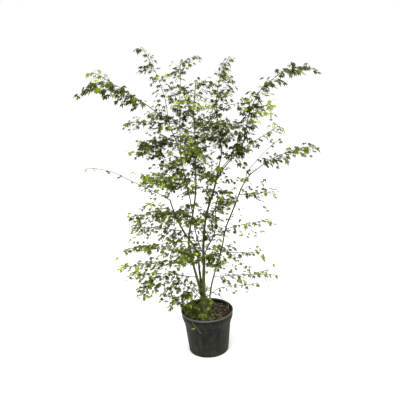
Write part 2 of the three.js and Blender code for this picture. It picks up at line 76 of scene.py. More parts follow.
WOODY_STEMS = {  # and how thick each is at its thickest
    "trunk": 21 * MM,
    "stem_right": 4.3 * MM,
    "stem_front": 7.5 * MM,
    "stem_back": 6.5 * MM,
    "stem_centre": 8.5 * MM,
    "stem_left": 6 * MM,
    "stem_short": 4 * MM,
    "branch_low_left": 4 * MM,
}
SHOOT_THICKEST = 3.4 * MM
GROUND_NODES = {
    "pot", "soil", "moss_pad", "weed_front", "weed_by_trunk", "trailing_weed", "curled_leaf",
    "dry_twig", "fallen_leaf_a", "fallen_leaf_b",
}
LEAFY_SHOOTS = sorted(set(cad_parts) - GROUND_NODES - set(WOODY_STEMS))

# How a shoot is clothed, beside an ordinary side shoot's 1: how many side twigs it has, how long they
# are, how large its leaves are, how far apart its pairs of leaves stand, and by how many degrees its
# side twigs hang.
CLOTHING = {
    "shoot_arch_left": (2.3, 0.8, 1.4, 0.8, 55),
    "shoot_tall_left": (0.9, 0.8, 1.1, 1.1),
    "shoot_bare_left": (0.0, 0.0, 0.8, 2.6),
    "leader_left": (0.6, 1.0, 1.05, 1.4),
    "leader_right": (0.9, 1.0, 1.1, 1.2),
    "shoot_top_right": (1.7, 0.75, 1.3, 0.9),
    "shoot_right_high": (1.0, 0.8, 1.1, 1.1),
    "shoot_right": (1.9, 0.8, 1.3, 0.8),
    "shoot_right_upper": (0.2, 0.5, 0.9, 1.8),
    "twig_low_right": (0.8, 0.8, 0.9, 1.3),
    "side_shoot_01": (1.8, 1.7, 1.0, 1.1),
    "side_shoot_02": (1.6, 1.0, 1.0, 1.1),
    "side_shoot_03": (1.6, 1.5, 1.0, 1.1),
    "side_shoot_04": (1.5, 1.5, 1.0, 1.1),
    "side_shoot_05": (0.8, 1.1, 1.0, 1.1),
    "side_shoot_06": (1.5, 1.3, 1.0, 1.0),
    "side_shoot_07": (2.4, 0.9, 1.0, 1.0, 25),
    "side_shoot_08": (1.8, 1.3, 1.0, 1.1, 40),
    "side_shoot_09": (1.6, 1.5, 1.0, 1.1, 20),
    "side_shoot_10": (2.0, 1.6, 1.0, 1.0),
    "side_shoot_11": (1.8, 1.7, 1.0, 1.1),
    "side_shoot_12": (1.6, 1.3, 1.0, 1.1),
    "side_shoot_13": (2.5, 1.1, 1.0, 1.0),
    "side_shoot_14": (1.2, 1.0, 1.0, 1.1),
    "side_shoot_15": (0.8, 0.7, 1.0, 1.0),
    "side_shoot_16": (1.5, 1.4, 1.0, 1.0),
    "side_shoot_18": (1.5, 1.3, 1.0, 1.1, 30),
    "side_shoot_19": (1.7, 1.5, 1.0, 1.0),
    "side_shoot_21": (1.2, 1.2, 1.05, 1.1),
    "side_shoot_26": (1.8, 1.6, 1.0, 1.0),
    "side_shoot_28": (1.6, 1.4, 0.9, 1.1),
    "side_shoot_30": (0.5, 1.0, 0.9, 1.2),
    "side_shoot_31": (0.6, 0.9, 0.9, 1.3),
}
ORDINARY = (1.0, 1.25, 1.0, 1.15)

# Thin sprays that spring straight from the older stems: where they start and end along the stem, as
# shares, how many there are, and how long they are.
SPRAYS = {
    "stem_front": (0.55, 0.98, 19, 150 * MM),
    "stem_centre": (0.78, 1.0, 8, 150 * MM),
    "stem_left": (0.05, 0.98, 16, 170 * MM),
    "stem_back": (0.15, 0.95, 8, 140 * MM),
    "stem_short": (0.5, 0.98, 3, 110 * MM),
    "stem_right": (0.42, 0.64, 5, 110 * MM),
    "branch_low_left": (0.2, 0.95, 9, 85 * MM),
    "leader_left": (0.0, 0.97, 9, 120 * MM),
    "leader_right": (0.06, 0.84, 10, 140 * MM),
    "shoot_top_right": (0.2, 0.5, 4, 110 * MM),
    "shoot_tall_left": (0.3, 0.7, 3, 100 * MM),
    "shoot_arch_left": (0.46, 0.55, 1, 90 * MM),
    "side_shoot_13": (0.15, 0.9, 7, 90 * MM),
    "side_shoot_18": (0.1, 0.9, 2, 90 * MM),
    "side_shoot_08": (0.4, 0.9, 3, 90 * MM),
}

# Shoots that bear their first leaves farther along than the rest, as shares.
BARE_UNTIL = {
    "shoot_arch_left": 0.45, "shoot_tall_left": 0.38, "shoot_right": 0.4, "shoot_right_high": 0.42,
}

# Stems whose sprays lean to where the light comes in.
LEANING = {
    "leader_right": Vector((0.75, 0, 0.1)),
    "leader_left": Vector((0.25, 0, 0.2)),
    "stem_left": Vector((-0.4, 0, 0.1)),
}

# Growth of this year, all of it lime green: whole shoots, and sprays by their number up the stem.
FRESH_TONE = 0.66
FRESH_SHOOTS = ("side_shoot_15", "side_shoot_21")
FRESH_SPRAYS = (("stem_front", 13), ("stem_front", 14), ("leader_left", 5), ("shoot_tall_left", 1))


# ------------------------------------------------------------------ materials


def linear(hex_colour):
    """An sRGB hex colour as linear RGBA."""
    shares = [int(hex_colour[i : i + 2], 16) / 255 for i in (1, 3, 5)]
    return (*[s / 12.92 if s <= 0.04045 else ((s + 0.055) / 1.055) ** 2.4 for s in shares], 1.0)


def add(tree, kind, inputs=None, stops=None, **settings):
    """Adds a shader node. inputs holds, by the socket's name or number, its value, the socket that
    feeds it, or the node whose first output does. stops are a ramp's places and hex colours."""
    made = tree.nodes.new("ShaderNode" + kind)
    for name, value in settings.items():
        setattr(made, name, value)
    for name, value in (inputs or {}).items():
        if isinstance(value, bpy.types.Node):
            value = next(socket for socket in value.outputs if socket.enabled)
        if isinstance(value, bpy.types.NodeSocket):
            tree.links.new(value, made.inputs[name])
        else:
            made.inputs[name].default_value = value
    if stops:
        ramp = made.color_ramp
        while len(ramp.elements) < len(stops):
            ramp.elements.new(0.5)
        for element, (place, colour) in zip(ramp.elements, stops):
            element.position = place
            element.color = linear(colour)
    return made


def new_material(name):
    """An empty material, its node tree, and the place on the piece in the piece's own metres."""
    material = bpy.data.materials.new(name)
    material.use_nodes = True
    tree = material.node_tree
    tree.nodes.clear()
    return material, tree, add(tree, "TexCoord").outputs["Object"]


def relief_surface(tree, colour, roughness, height, strength, relief, ior=1.45, shine=0.5):
    """A surface of a colour and a roughness, its height lifted by at most the relief in metres."""
    bump = add(tree, "Bump", {"Height": height, "Strength": strength, "Distance": relief})
    return add(
        tree, "BsdfPrincipled",
        {"Base Color": colour, "Roughness": roughness, "Normal": bump, "IOR": ior,
         "Specular IOR Level": shine},
    )


def maple_leaf(name, shades, gloss=0.42, glow=0.24):
    """A living Japanese maple leaf: thin, with a faint wax bloom. The wax gives it a soft shine, light
    from behind shows through it, and its midribs are paler than the blade."""
    material, tree, place = new_material(name)
    tone = add(tree, "Attribute", attribute_name="tone")
    rib = add(tree, "Attribute", attribute_name="rib")
    # Blotches about 12 mm across, and a net of veins about 2 mm across.
    blotch = add(tree, "TexNoise", {"Vector": place, "Scale": 85, "Detail": 3})
    net = add(tree, "TexVoronoi", {"Vector": place, "Scale": 480}, feature="DISTANCE_TO_EDGE")
    shift = add(tree, "MapRange", {"Value": blotch, "To Min": -0.14, "To Max": 0.14})
    shade = add(tree, "Math", {0: tone.outputs["Fac"], 1: shift}, operation="ADD")
    blade = add(tree, "ValToRGB", {"Fac": shade}, stops=shades)
    midrib = add(tree, "MapRange", {"Value": rib.outputs["Fac"], "From Min": 0.72, "To Max": 0.45})
    veined = add(tree, "Mix", {"Factor": midrib, "A": blade, "B": linear("#8fa040")}, data_type="RGBA")
    wax = add(tree, "MapRange", {"Value": blotch, "To Min": gloss - 0.08, "To Max": gloss + 0.12})
    front = relief_surface(tree, veined, wax, net, 0.35, 0.3 * MM, ior=1.42, shine=0.1)
    behind = add(tree, "BsdfTranslucent", {"Color": veined})
    both = add(tree, "MixShader", {"Fac": glow, 1: front, 2: behind})
    add(tree, "OutputMaterial", {"Surface": both})
    return material


def maple_bark():
    """Young maple bark: smooth and olive, grown tight. Pale breathing pores dot it, fine streaks run
    along it, and green algae and moss cling near the soil."""
    material, tree, place = new_material("maple_bark")
    split = add(tree, "SeparateXYZ", {"Vector": place})
    streaks_at = add(tree, "Mapping", {"Vector": place, "Scale": (1, 1, 0.12)})
    # Streaks about 3 mm wide and 25 mm long, pores about 1.5 mm, drawn a little coarse to show.
    streak = add(tree, "TexNoise", {"Vector": streaks_at, "Scale": 330, "Detail": 4, "Roughness": 0.65})
    pores = add(tree, "TexVoronoi", {"Vector": place, "Scale": 240})
    patches = add(tree, "TexNoise", {"Vector": place, "Scale": 38, "Detail": 5})
    wood = add(
        tree, "ValToRGB", {"Fac": streak},
        stops=[(0.3, "#221e0f"), (0.5, "#3b381b"), (0.72, "#5c5930")],
    )
    pore = add(
        tree, "MapRange",
        {"Value": pores, "From Min": 0.12, "From Max": 0.2, "To Min": 0.55, "To Max": 0},
    )
    pored = add(tree, "Mix", {"Factor": pore, "A": wood, "B": linear("#8c8764")}, data_type="RGBA")
    # Moss and algae thin out over the lowest 420 mm above the soil.
    height = add(
        tree, "MapRange",
        {"Value": split.outputs["Z"], "From Min": SOIL_CROWN, "From Max": SOIL_CROWN + 420 * MM,
         "To Min": 0.62, "To Max": 0.28},
    )
    mossy = add(tree, "Math", {0: patches, 1: height}, operation="ADD")
    cover = add(tree, "MapRange", {"Value": mossy, "From Min": 0.86, "From Max": 1.12})
    green = add(tree, "Mix", {"Factor": cover, "A": pored, "B": linear("#566022")}, data_type="RGBA")
    relief = add(tree, "Math", {0: streak, 1: patches}, operation="ADD")
    rough = add(tree, "MapRange", {"Value": streak, "To Min": 0.62, "To Max": 0.9})
    surface = relief_surface(tree, green, rough, relief, 0.6, 1.2 * MM)
    add(tree, "OutputMaterial", {"Surface": surface})
    return material


def grown_surface(name, shades, pattern, roughness, relief):
    """A plain grown or weathered surface: its own noise, of the given size in metres, picks the shade,
    varies the shine and lifts the surface by the given relief."""
    material, tree, place = new_material(name)
    coarse = add(tree, "TexNoise", {"Vector": place, "Scale": 1 / pattern, "Detail": 5, "Roughness": 0.6})
    fine = add(tree, "TexNoise", {"Vector": place, "Scale": 5 / pattern, "Detail": 2})
    tone = add(tree, "Attribute", attribute_name="tone")
    shift = add(tree, "Math", {0: tone.outputs["Fac"], 1: 0.5}, operation="SUBTRACT")
    mixed = add(tree, "Math", {0: coarse, 1: shift}, operation="ADD")
    shade = add(tree, "ValToRGB", {"Fac": mixed}, stops=shades)
    rough = add(tree, "MapRange", {"Value": fine, "To Min": roughness - 0.12, "To Max": roughness + 0.1})
    surface = relief_surface(tree, shade, rough, fine, 0.7, relief)
    add(tree, "OutputMaterial", {"Surface": surface})
    return material


def nursery_plastic():
    """Black recycled polypropylene, injection moulded. The mould leaves a fine satin grain, handling
    leaves paler scuffs, and splashed soil and algae dry to a greenish bloom low on the wall. Painted
    highlights pale the right side, the lip and the ledges' edges, and painted highlight streaks run
    down the wall."""
    material, tree, place = new_material("nursery_plastic")
    split = add(tree, "SeparateXYZ", {"Vector": place})
    # Dust clouds about 40 mm across, scuffs 6 mm wide and longer round the pot, water runs 13 mm wide
    # down the wall that are also painted vertical highlight streaks, grain 0.8 mm.
    dust = add(tree, "TexNoise", {"Vector": place, "Scale": 26, "Detail": 6})
    scuff_at = add(tree, "Mapping", {"Vector": place, "Scale": (0.35, 0.35, 1)})
    scuffs = add(tree, "TexNoise", {"Vector": scuff_at, "Scale": 170, "Detail": 6, "Roughness": 0.7})
    run_highlight_at = add(tree, "Mapping", {"Vector": place, "Scale": (1, 1, 0.06)})
    run_highlight_noise = add(tree, "TexNoise", {"Vector": run_highlight_at, "Scale": 75, "Detail": 4})
    grain = add(tree, "TexNoise", {"Vector": place, "Scale": 1200, "Detail": 1})
    plastic = add(
        tree, "ValToRGB", {"Fac": scuffs},
        stops=[(0.35, "#0a0a09"), (0.55, "#11120f"), (0.75, "#20211d")],
    )
    low = add(
        tree, "MapRange",
        {"Value": split.outputs["Z"], "From Min": 0, "From Max": 0.75 * POT_HEIGHT, "To Min": 0.2,
         "To Max": 0.0},
    )
    # A painted highlight: the wall is painted paler towards its right (+X) side. It is added to the dust
    # low on the wall.
    side_highlight = add(
        tree, "MapRange",
        {"Value": split.outputs["X"], "From Min": 0.4 * POT_RADIUS, "From Max": 0.8 * POT_RADIUS,
         "To Max": 0.36},
    )
    low_dust_and_side_highlight = add(tree, "Math", {0: side_highlight, 1: low}, operation="ADD")
    # Painted highlight streaks, drawn as water runs down the wall.
    run_highlight = add(tree, "MapRange", {"Value": run_highlight_noise, "From Min": 0.5, "From Max": 0.75, "To Max": 0.22})
    dust_and_run_highlights = add(tree, "Math", {0: dust, 1: run_highlight}, operation="ADD")
    dust_and_highlights = add(tree, "Math", {0: dust_and_run_highlights, 1: low_dust_and_side_highlight}, operation="ADD")
    # Dust and algae, and the painted highlights too, pale the plastic towards one greenish grey.
    bloom_and_highlights = add(tree, "MapRange", {"Value": dust_and_highlights, "From Min": 0.45, "From Max": 1.15, "To Max": 0.5})
    shade = add(tree, "Mix", {"Factor": bloom_and_highlights, "A": plastic, "B": linear("#504f43")}, data_type="RGBA")
    # Painted highlight: the lip and the edges of the two ledges are painted pale, broken up by the scuffs.
    level = add(tree, "Math", {0: split.outputs["Z"], 1: POT_HEIGHT}, operation="DIVIDE")
    ledges = [SHOULDER_FOOT / POT_HEIGHT, 0.5 * (SHOULDER_FOOT + SHOULDER_TOP) / POT_HEIGHT]
    ledge_highlights = []
    for ledge in ledges:
        ledge_highlights += [(ledge - 0.014, "#000000"), (ledge, "#5a5a5a"), (ledge + 0.008, "#000000")]
    lip_and_ledge_highlight = add(
        tree, "ValToRGB", {"Fac": level},
        stops=[*ledge_highlights, (1 - 0.048, "#000000"), (1 - 0.03, "#c8c8c8"), (1.0, "#a0a0a0")],
    )
    highlight_mask = add(tree, "Math", {0: lip_and_ledge_highlight, 1: scuffs}, operation="MULTIPLY")
    highlighted = add(tree, "Mix", {"Factor": highlight_mask, "A": shade, "B": linear("#9a9b94")}, data_type="RGBA")
    rough = add(
        tree, "MapRange",
        {"Value": dust_and_highlights, "From Min": 0.35, "From Max": 0.85, "To Min": 0.38, "To Max": 0.72},
    )
    surface = relief_surface(tree, highlighted, rough, grain, 0.3, 0.25 * MM, ior=1.49, shine=0.12)
    add(tree, "OutputMaterial", {"Surface": surface})
    return material


LEAF_GREEN = maple_leaf(
    "maple_leaf",
    [(0.0, "#131900"), (0.3, "#2b3602"), (0.55, "#526306"), (0.8, "#889e18"), (1.0, "#bdd42c")],
)
WEED_GREEN = maple_leaf(
    "weed_leaf", [(0.0, "#2c2e10"), (0.35, "#4a4f20"), (0.7, "#6e7e36"), (1.0, "#a0ae55")], gloss=0.5,
    glow=0.2,
)
REED_GREEN = maple_leaf(
    "sedge_leaf", [(0.0, "#3f5a2c"), (0.5, "#678748"), (1.0, "#9db578")], gloss=0.5, glow=0.15
)
DEAD_LEAF = maple_leaf(
    "dead_maple_leaf", [(0.0, "#33200f"), (0.5, "#7a4a1e"), (1.0, "#b98444")], gloss=0.7, glow=0.1
)
BARK = maple_bark()
# One-year wood is smooth and waxy, olive where it sees light and purplish brown at the buds.
TWIG = grown_surface(
    "young_twig", [(0.25, "#3a3517"), (0.5, "#5a5a25"), (0.8, "#7f8538")], 6 * MM, 0.5, 0.2 * MM
)
# A leaf stalk is smooth and slightly waxy, and reddish where the light falls on it.
STALK = grown_surface(
    "leaf_stalk", [(0.25, "#5c4a22"), (0.5, "#6f7a2b"), (0.8, "#93a73f")], 9 * MM, 0.5, 0.1 * MM
)
PLASTIC = nursery_plastic()
# Peat and composted bark, loose and damp: nearly black between the crumbs and brown on top.
PEAT = grown_surface(
    "peat_mix", [(0.25, "#070504"), (0.5, "#120d08"), (0.8, "#2c2317")], 7 * MM, 0.9, 2.0 * MM
)
# Composted pine bark, chipped: fibrous, brown inside and grey where it has weathered.
CHIP = grown_surface(
    "bark_chip", [(0.1, "#080503"), (0.5, "#17100a"), (0.8, "#3a2c1d"), (1.0, "#806c4a")], 3 * MM, 0.85,
    0.8 * MM,
)
# Cushion moss: a pile of short shoots, dark below and yellow-green at the growing tips.
MOSS = grown_surface(
    "cushion_moss", [(0.15, "#1f240b"), (0.5, "#4a5519"), (0.85, "#7f8730")], 6 * MM, 0.9, 0.6 * MM
)
# A dead twig, its bark dried grey-brown.
DRY_WOOD = grown_surface(
    "dry_wood", [(0.2, "#1f1812"), (0.5, "#3a2d21"), (0.75, "#6a573c"), (1.0, "#b09a6c")], 4 * MM, 0.8,
    0.4 * MM
)

# ------------------------------------------------------------------ meshes


def heading(turn, rise=0.0):
    """The way that a turn about the upright gives, level or rising."""
    return Vector((math.cos(turn), math.sin(turn), rise))


class Growth:
    """Gathers the tubes, leaves and crumbs of one piece, each with its shade and material."""

    def __init__(self, *materials):
        self.materials = materials
        self.points, self.faces, self.finish = [], [], []
        self.tone, self.rib = [], []
        self.count = 0

    def put(self, points, faces, material, tone, rib=None):
        """Adds a shape: its points, its faces as rows of point numbers, and its points' shades."""
        self.points.append(np.asarray(points, float))
        self.faces += [tuple(int(i) + self.count for i in face) for face in faces]
        self.finish += [material] * len(faces)
        self.tone.append(np.broadcast_to(np.asarray(tone, float), len(points)))
        self.rib.append(np.broadcast_to(np.asarray(0 if rib is None else rib, float), len(points)))
        self.count += len(points)

    def tube(self, centres, radii, sides, material=0, tone=0.5):
        """A closed round tube through the centres, with pointed ends."""
        centres = np.asarray(centres, float)
        radii = np.broadcast_to(np.asarray(radii, float), len(centres))
        along = np.gradient(centres, axis=0)
        along /= np.linalg.norm(along, axis=1)[:, None] + 1e-12
        across = np.cross(along[0], (0.0, 0.0, 1.0))
        if np.linalg.norm(across) < 0.1:
            across = np.array((1.0, 0.0, 0.0))
        turns = np.linspace(0, 2 * np.pi, sides, endpoint=False)
        rings = []
        for centre, way, radius in zip(centres, along, radii):
            across = across - way * across.dot(way)
            across /= np.linalg.norm(across)
            over = np.cross(way, across)
            circle = np.outer(np.cos(turns), across) + np.outer(np.sin(turns), over)
            rings.append(centre + radius * circle)
        first = centres[0] - along[0] * radii[0] * 0.5
        last = centres[-1] + along[-1] * radii[-1] * 0.8
        points = np.vstack([*rings, first, last])
        faces = []
        for k in range(len(centres) - 1):
            for i in range(sides):
                j = (i + 1) % sides
                faces.append((k * sides + i, k * sides + j, (k + 1) * sides + j, (k + 1) * sides + i))
        end = (len(centres) - 1) * sides
        for i in range(sides):
            j = (i + 1) % sides
            faces.append((j, i, end + sides))
            faces.append((end + i, end + j, end + sides + 1))
        self.put(points, faces, material, tone)

    def piece(self, name, slot, *nodes, smooth=True, sharp=50):
        """Turns what was gathered into a piece of the object that stands for CAD nodes."""
        mesh = bpy.data.meshes.new(name)
        mesh.from_pydata(np.vstack(self.points).tolist(), [], self.faces)
        for material in self.materials:
            mesh.materials.append(material)
        mesh.polygons.foreach_set("material_index", self.finish)
        for label, values in (("tone", self.tone), ("rib", self.rib)):
            attribute = mesh.attributes.new(label, "FLOAT", "POINT")
            attribute.data.foreach_set("value", np.concatenate(values).astype(np.float32))
        mesh.validate()
        if smooth:
            mesh.shade_smooth()
            mesh.set_sharp_from_angle(angle=math.radians(sharp))
        return placed(bpy.data.objects.new(name, mesh), slot, *nodes)


def placed(piece, slot, *nodes):
    """Puts a finished piece in the scene, on the object's one body."""
    if not piece.users_collection:
        bpy.context.scene.collection.objects.link(piece)
    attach(piece, "root")
    if nodes:
        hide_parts(*nodes)
    return piece


def rounded(points, step):
    """Evenly spaced points, about a step apart, on a smooth curve through the given ones."""
    points = [np.asarray(p, float) for p in points]
    padded = [2 * points[0] - points[1], *points, 2 * points[-1] - points[-2]]
    curve = []
    for a, b, c, d in zip(padded, padded[1:], padded[2:], padded[3:]):
        count = max(2, int(np.linalg.norm(c - b) / (step * 0.5)))
        for t in np.linspace(0, 1, count, endpoint=False):
            curve.append(
                0.5 * (2 * b + (c - a) * t + (2 * a - 5 * b + 4 * c - d) * t**2
                       + (3 * b - a - 3 * c + d) * t**3)
            )
    curve = np.array([*curve, points[-1]])
    gone = np.concatenate([[0], np.cumsum(np.linalg.norm(np.diff(curve, axis=0), axis=1))])
    places = np.linspace(0, gone[-1], max(3, int(gone[-1] / step) + 1))
    return np.column_stack([np.interp(places, gone, curve[:, k]) for k in range(3)]), gone[-1]


# ------------------------------------------------------------------ routes of the CAD stems


def merged_mesh(node):
    """A CAD node's points, with doubles merged, and its edges."""
    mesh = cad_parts[node].data
    raw = np.array([v.co for v in mesh.vertices])
    _, first, same = np.unique(np.round(raw, 5), axis=0, return_index=True, return_inverse=True)
    same = same.reshape(-1)
    edges = {tuple(sorted((int(same[a]), int(same[b])))) for a, b in (e.vertices for e in mesh.edges)}
    return raw[first], [e for e in edges if e[0] != e[1]]


def surface_of(node):
    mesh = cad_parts[node].data
    return BVHTree.FromPolygons([v.co for v in mesh.vertices], [p.vertices for p in mesh.polygons])


STEM_NODES = [*WOODY_STEMS, *LEAFY_SHOOTS]
SURFACES = {node: surface_of(node) for node in STEM_NODES}
BOXES = {node: [np.array(corner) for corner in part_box(node)] for node in STEM_NODES}


def foot_of(node, points):
    """The number of the point that lies closest to another stem: the foot that the stem grows from."""
    low, high = points.min(0) - 2 * MM, points.max(0) + 2 * MM
    best = (9.0, 0)
    for other in STEM_NODES:
        if other == node:
            continue
        a, b = BOXES[other]
        if (a > high).any() or (b < low).any():
            continue
        near = ((points > a - 2 * MM) & (points < b + 2 * MM)).all(1)
        for i in np.flatnonzero(near):
            found = SURFACES[other].find_nearest(Vector(points[i]), 2 * MM)
            if found[0] is not None and found[3] < best[0]:
                best = (found[3], int(i))
    return best[1]


def route_of(node, thickest):
    """A CAD stem's line of centres from foot to tip, its radius at each, and the node's points."""
    points, edges = merged_mesh(node)
    joined = [[] for _ in points]
    for a, b in edges:
        span = float(np.linalg.norm(points[a] - points[b]))
        joined[a].append((b, span))
        joined[b].append((a, span))
    foot = int(points[:, 2].argmin()) if node in ("trunk", "stem_right") else foot_of(node, points)
    gone = [math.inf] * len(points)
    came = [None] * len(points)
    gone[foot] = 0.0
    queue = [(0.0, foot)]
    while queue:
        far, at = heapq.heappop(queue)
        if far > gone[at]:
            continue
        for to, span in joined[at]:
            if far + span < gone[to]:
                gone[to], came[to] = far + span, at
                heapq.heappush(queue, (gone[to], to))
    at = max(range(len(points)), key=lambda i: gone[i] if gone[i] < math.inf else -1)
    path = []
    while at is not None:
        path.append(at)
        at = came[at]
    path.reverse()
    centres, radii, before = [], [], None
    for i in path:
        ring = points[np.linalg.norm(points - points[i], axis=1) < 2.15 * thickest]
        centre = ring.mean(0)
        if before is not None and np.linalg.norm(centre - before) < 2.5 * thickest:
            continue
        spread = np.linalg.norm(ring - centre, axis=1)
        centres.append(centre)
        radii.append(float(np.median(spread)) if len(ring) > 3 else radii[-1])
        before = centre
    return np.array(centres), np.minimum(radii, thickest), points


def shortened(centres, cut):
    """A line of centres without its last stretch."""
    gone = np.concatenate([[0], np.cumsum(np.linalg.norm(np.diff(centres, axis=0), axis=1))])
    end = max(gone[-1] - cut, gone[-1] * 0.4)
    last = [np.interp(end, gone, centres[:, k]) for k in range(3)]
    return np.vstack([centres[gone < end - 4 * MM], last])


def leaves_start(centres, points):
    """How far along a route, as a share, the CAD stem bears its first leaf."""
    steps = np.linspace(0, 1, 60)
    gone = np.linspace(0, 1, len(centres))
    line = np.column_stack([np.interp(steps, gone, centres[:, k]) for k in range(3)])
    away = np.linalg.norm(points[:, None] - line[None], axis=2)
    nearest = away.argmin(1)
    off = away.min(1) > 22 * MM
    return float(steps[nearest[off]].min()) if off.any() else 1.0


# ------------------------------------------------------------------ maple leaves

SEVEN_LOBES = [(-104, 0.36), (-67, 0.62), (-33, 0.88), (0, 1.0), (33, 0.88), (67, 0.62), (104, 0.36)]
FIVE_LOBES = [(-72, 0.5), (-36, 0.84), (0, 1.0), (36, 0.84), (72, 0.5)]
LOBE_WIDTHS = [(0.42, 0.138), (0.6, 0.142), (0.82, 0.07)]  # half width, along a lobe
NOTCH = 0.27  # how far out two lobes part


def leaf_shape(lobes, droop, fold, curl, rng):
    """One leaf a unit long, its stalk's end at the origin, its middle lobe along +X: its points, faces
    and ribs. Each lobe is a narrow blade with a long point, folded up a little along its midrib, and
    the upper and lower faces meet in a thin edge all round."""
    edge, top, under = [], [[0, 0, 0]], []

    def lift(x, y, off):
        out = math.hypot(x, y)
        return fold * off - droop * out * out + curl * out * y

    def notch(a, b):
        way = math.radians((a[0] + b[0]) / 2)
        out = NOTCH * min(a[1], b[1])
        return [out * math.cos(way), out * math.sin(way), 0.1 * out]

    notches = [[-0.03, -0.05, 0.0]]
    notches += [notch(a, b) for a, b in zip(lobes, lobes[1:])]
    notches += [[-0.03, 0.05, 0.0]]
    for spot in notches:
        edge.append([spot[0], spot[1], lift(spot[0], spot[1], spot[2])])
    chains = []
    for number, (angle, length) in enumerate(lobes):
        angle = math.radians(angle + rng.uniform(-5, 5))
        length *= rng.uniform(0.93, 1.05)
        along, across = (math.cos(angle), math.sin(angle)), (-math.sin(angle), math.cos(angle))
        bow = rng.uniform(-0.08, 0.08)
        sides = {-1: [number], 1: [number + 1]}
        middle = [0]
        for step, (out, half) in enumerate(LOBE_WIDTHS):
            uneven = 1.1 if step % 2 else 0.92
            centre = [length * (out * along[k] + bow * out * out * across[k]) for k in (0, 1)]
            for way in (-1, 1):
                x, y = (centre[k] + way * half * uneven * length * across[k] for k in (0, 1))
                sides[way].append(len(edge))
                edge.append([x, y, lift(x, y, half * length)])
            middle.append(len(top))
            top.append([centre[0], centre[1], lift(centre[0], centre[1], 0)])
        tip = [length * (along[k] + bow * across[k]) for k in (0, 1)]
        for way in (-1, 1):
            sides[way].append(len(edge))
        edge.append([tip[0], tip[1], lift(tip[0], tip[1], 0)])
        chains.append((sides, middle))
    thick = 0.007
    points = [*edge, *[[x, y, z + thick] for x, y, z in top], *[[x, y, z - thick] for x, y, z in top]]
    faces = []
    for sheet, flip in ((len(edge), False), (len(edge) + len(top), True)):
        for sides, middle in chains:
            ribs = [sheet + i for i in middle]
            right, left = sides[-1], sides[1]
            for k in range(len(ribs) - 1):
                faces += [
                    ((ribs[k], right[k], right[k + 1], ribs[k + 1]), flip),
                    ((ribs[k], ribs[k + 1], left[k + 1], left[k]), flip),
                ]
            faces += [((ribs[-1], right[-2], right[-1]), flip), ((ribs[-1], left[-1], left[-2]), flip)]
        # The blade closes round the stalk's end between the two hindmost notches.
        faces.append(((sheet, len(notches) - 1, 0), flip))
    faces = [face[::-1] if flip else face for face, flip in faces]
    rib = [0.0] * len(edge) + [1.0] * (2 * len(top))
    return np.array(points), faces, np.array(rib)


shape_rng = random.Random(7)
LEAF_SHAPES = [
    leaf_shape(lobes, droop, fold, curl, shape_rng)
    for lobes, droop, fold, curl in (
        (FIVE_LOBES, 0.10, 0.45, 0.05),
        (SEVEN_LOBES, 0.28, 0.6, -0.06),
        (FIVE_LOBES, 0.16, 0.35, 0.00),
        (FIVE_LOBES, 0.34, 0.50, 0.08),
        (SEVEN_LOBES, 0.42, 0.25, -0.10),
        (FIVE_LOBES, 0.05, 0.20, -0.04),
    )
]
DEAD_SHAPES = [
    leaf_shape(FIVE_LOBES, -0.45, 0.9, 0.25, shape_rng),
    leaf_shape(SEVEN_LOBES, 0.6, 1.1, -0.2, shape_rng),
]


def facing(forward):
    """Where the upper face of a leaf looks that points forward and lies as level as it can."""
    return (UP - forward * UP.dot(forward)).normalized()


def lay_leaf(growth, shape, at, forward, up, size, material, tone):
    """Puts a leaf's blade with its stalk's end at a point, pointing forward, its face up."""
    forward = forward.normalized()
    left = up.cross(forward).normalized()
    turn = np.array([forward, left, forward.cross(left)])
    points, faces, rib = shape
    growth.put(points @ turn * size + np.array(at), faces, material, tone, rib)


def hang_leaf(growth, at, out, size, tone, rng, blade=0, stalk=1):
    """One leaf on its stalk: the stalk leaves the twig outward and sags, and the blade lies level or
    droops from its end."""
    stalk_length = LEAF_STALK * size / LEAF_LENGTH * rng.uniform(0.55, 1.15)
    out = out.normalized()
    flat = Vector((out.x, out.y, 0))
    flat = flat.normalized() if flat.length > 0.15 else Vector((rng.uniform(-1, 1), rng.uniform(-1, 1), 0))
    middle = at + out * stalk_length * 0.5
    end = middle + (out * 0.4 + flat * 0.6).normalized() * stalk_length * 0.5
    end.z -= stalk_length * rng.uniform(0.05, 0.3)
    growth.tube([at, middle, end], [0.5 * MM, 0.4 * MM, 0.4 * MM], 4, stalk, tone * 0.5 + 0.3)
    droop = math.radians(max(-10, rng.gauss(30, 20)))
    forward = (flat * math.cos(droop) - UP * math.sin(droop)).normalized()
    roll = Matrix.Rotation(math.radians(rng.gauss(0, 20)), 3, forward)
    lay_leaf(growth, rng.choice(LEAF_SHAPES), end, forward, roll @ facing(forward), size, blade, tone)


def leaf_pair(growth, at, along, turned, size, tone, rng):
    """Two opposite leaves, each pair turned a quarter from the one before it, as maples bear them."""
    side = along.cross(UP)
    side = side.normalized() if side.length > 0.2 else Vector((1, 0, 0))
    over = side.cross(along).normalized()
    for way in (1, -1):
        angle = math.radians(turned + rng.uniform(-25, 25))
        outward = way * (side * math.cos(angle) + over * math.sin(angle))
        spread = math.radians(rng.uniform(28, 58))
        shade = min(1, max(0, tone + rng.gauss(0.02, 0.15)))
        hang_leaf(
            growth, at, along * math.cos(spread) + outward * math.sin(spread),
            size * rng.uniform(0.8, 1.12), shade, rng,
        )


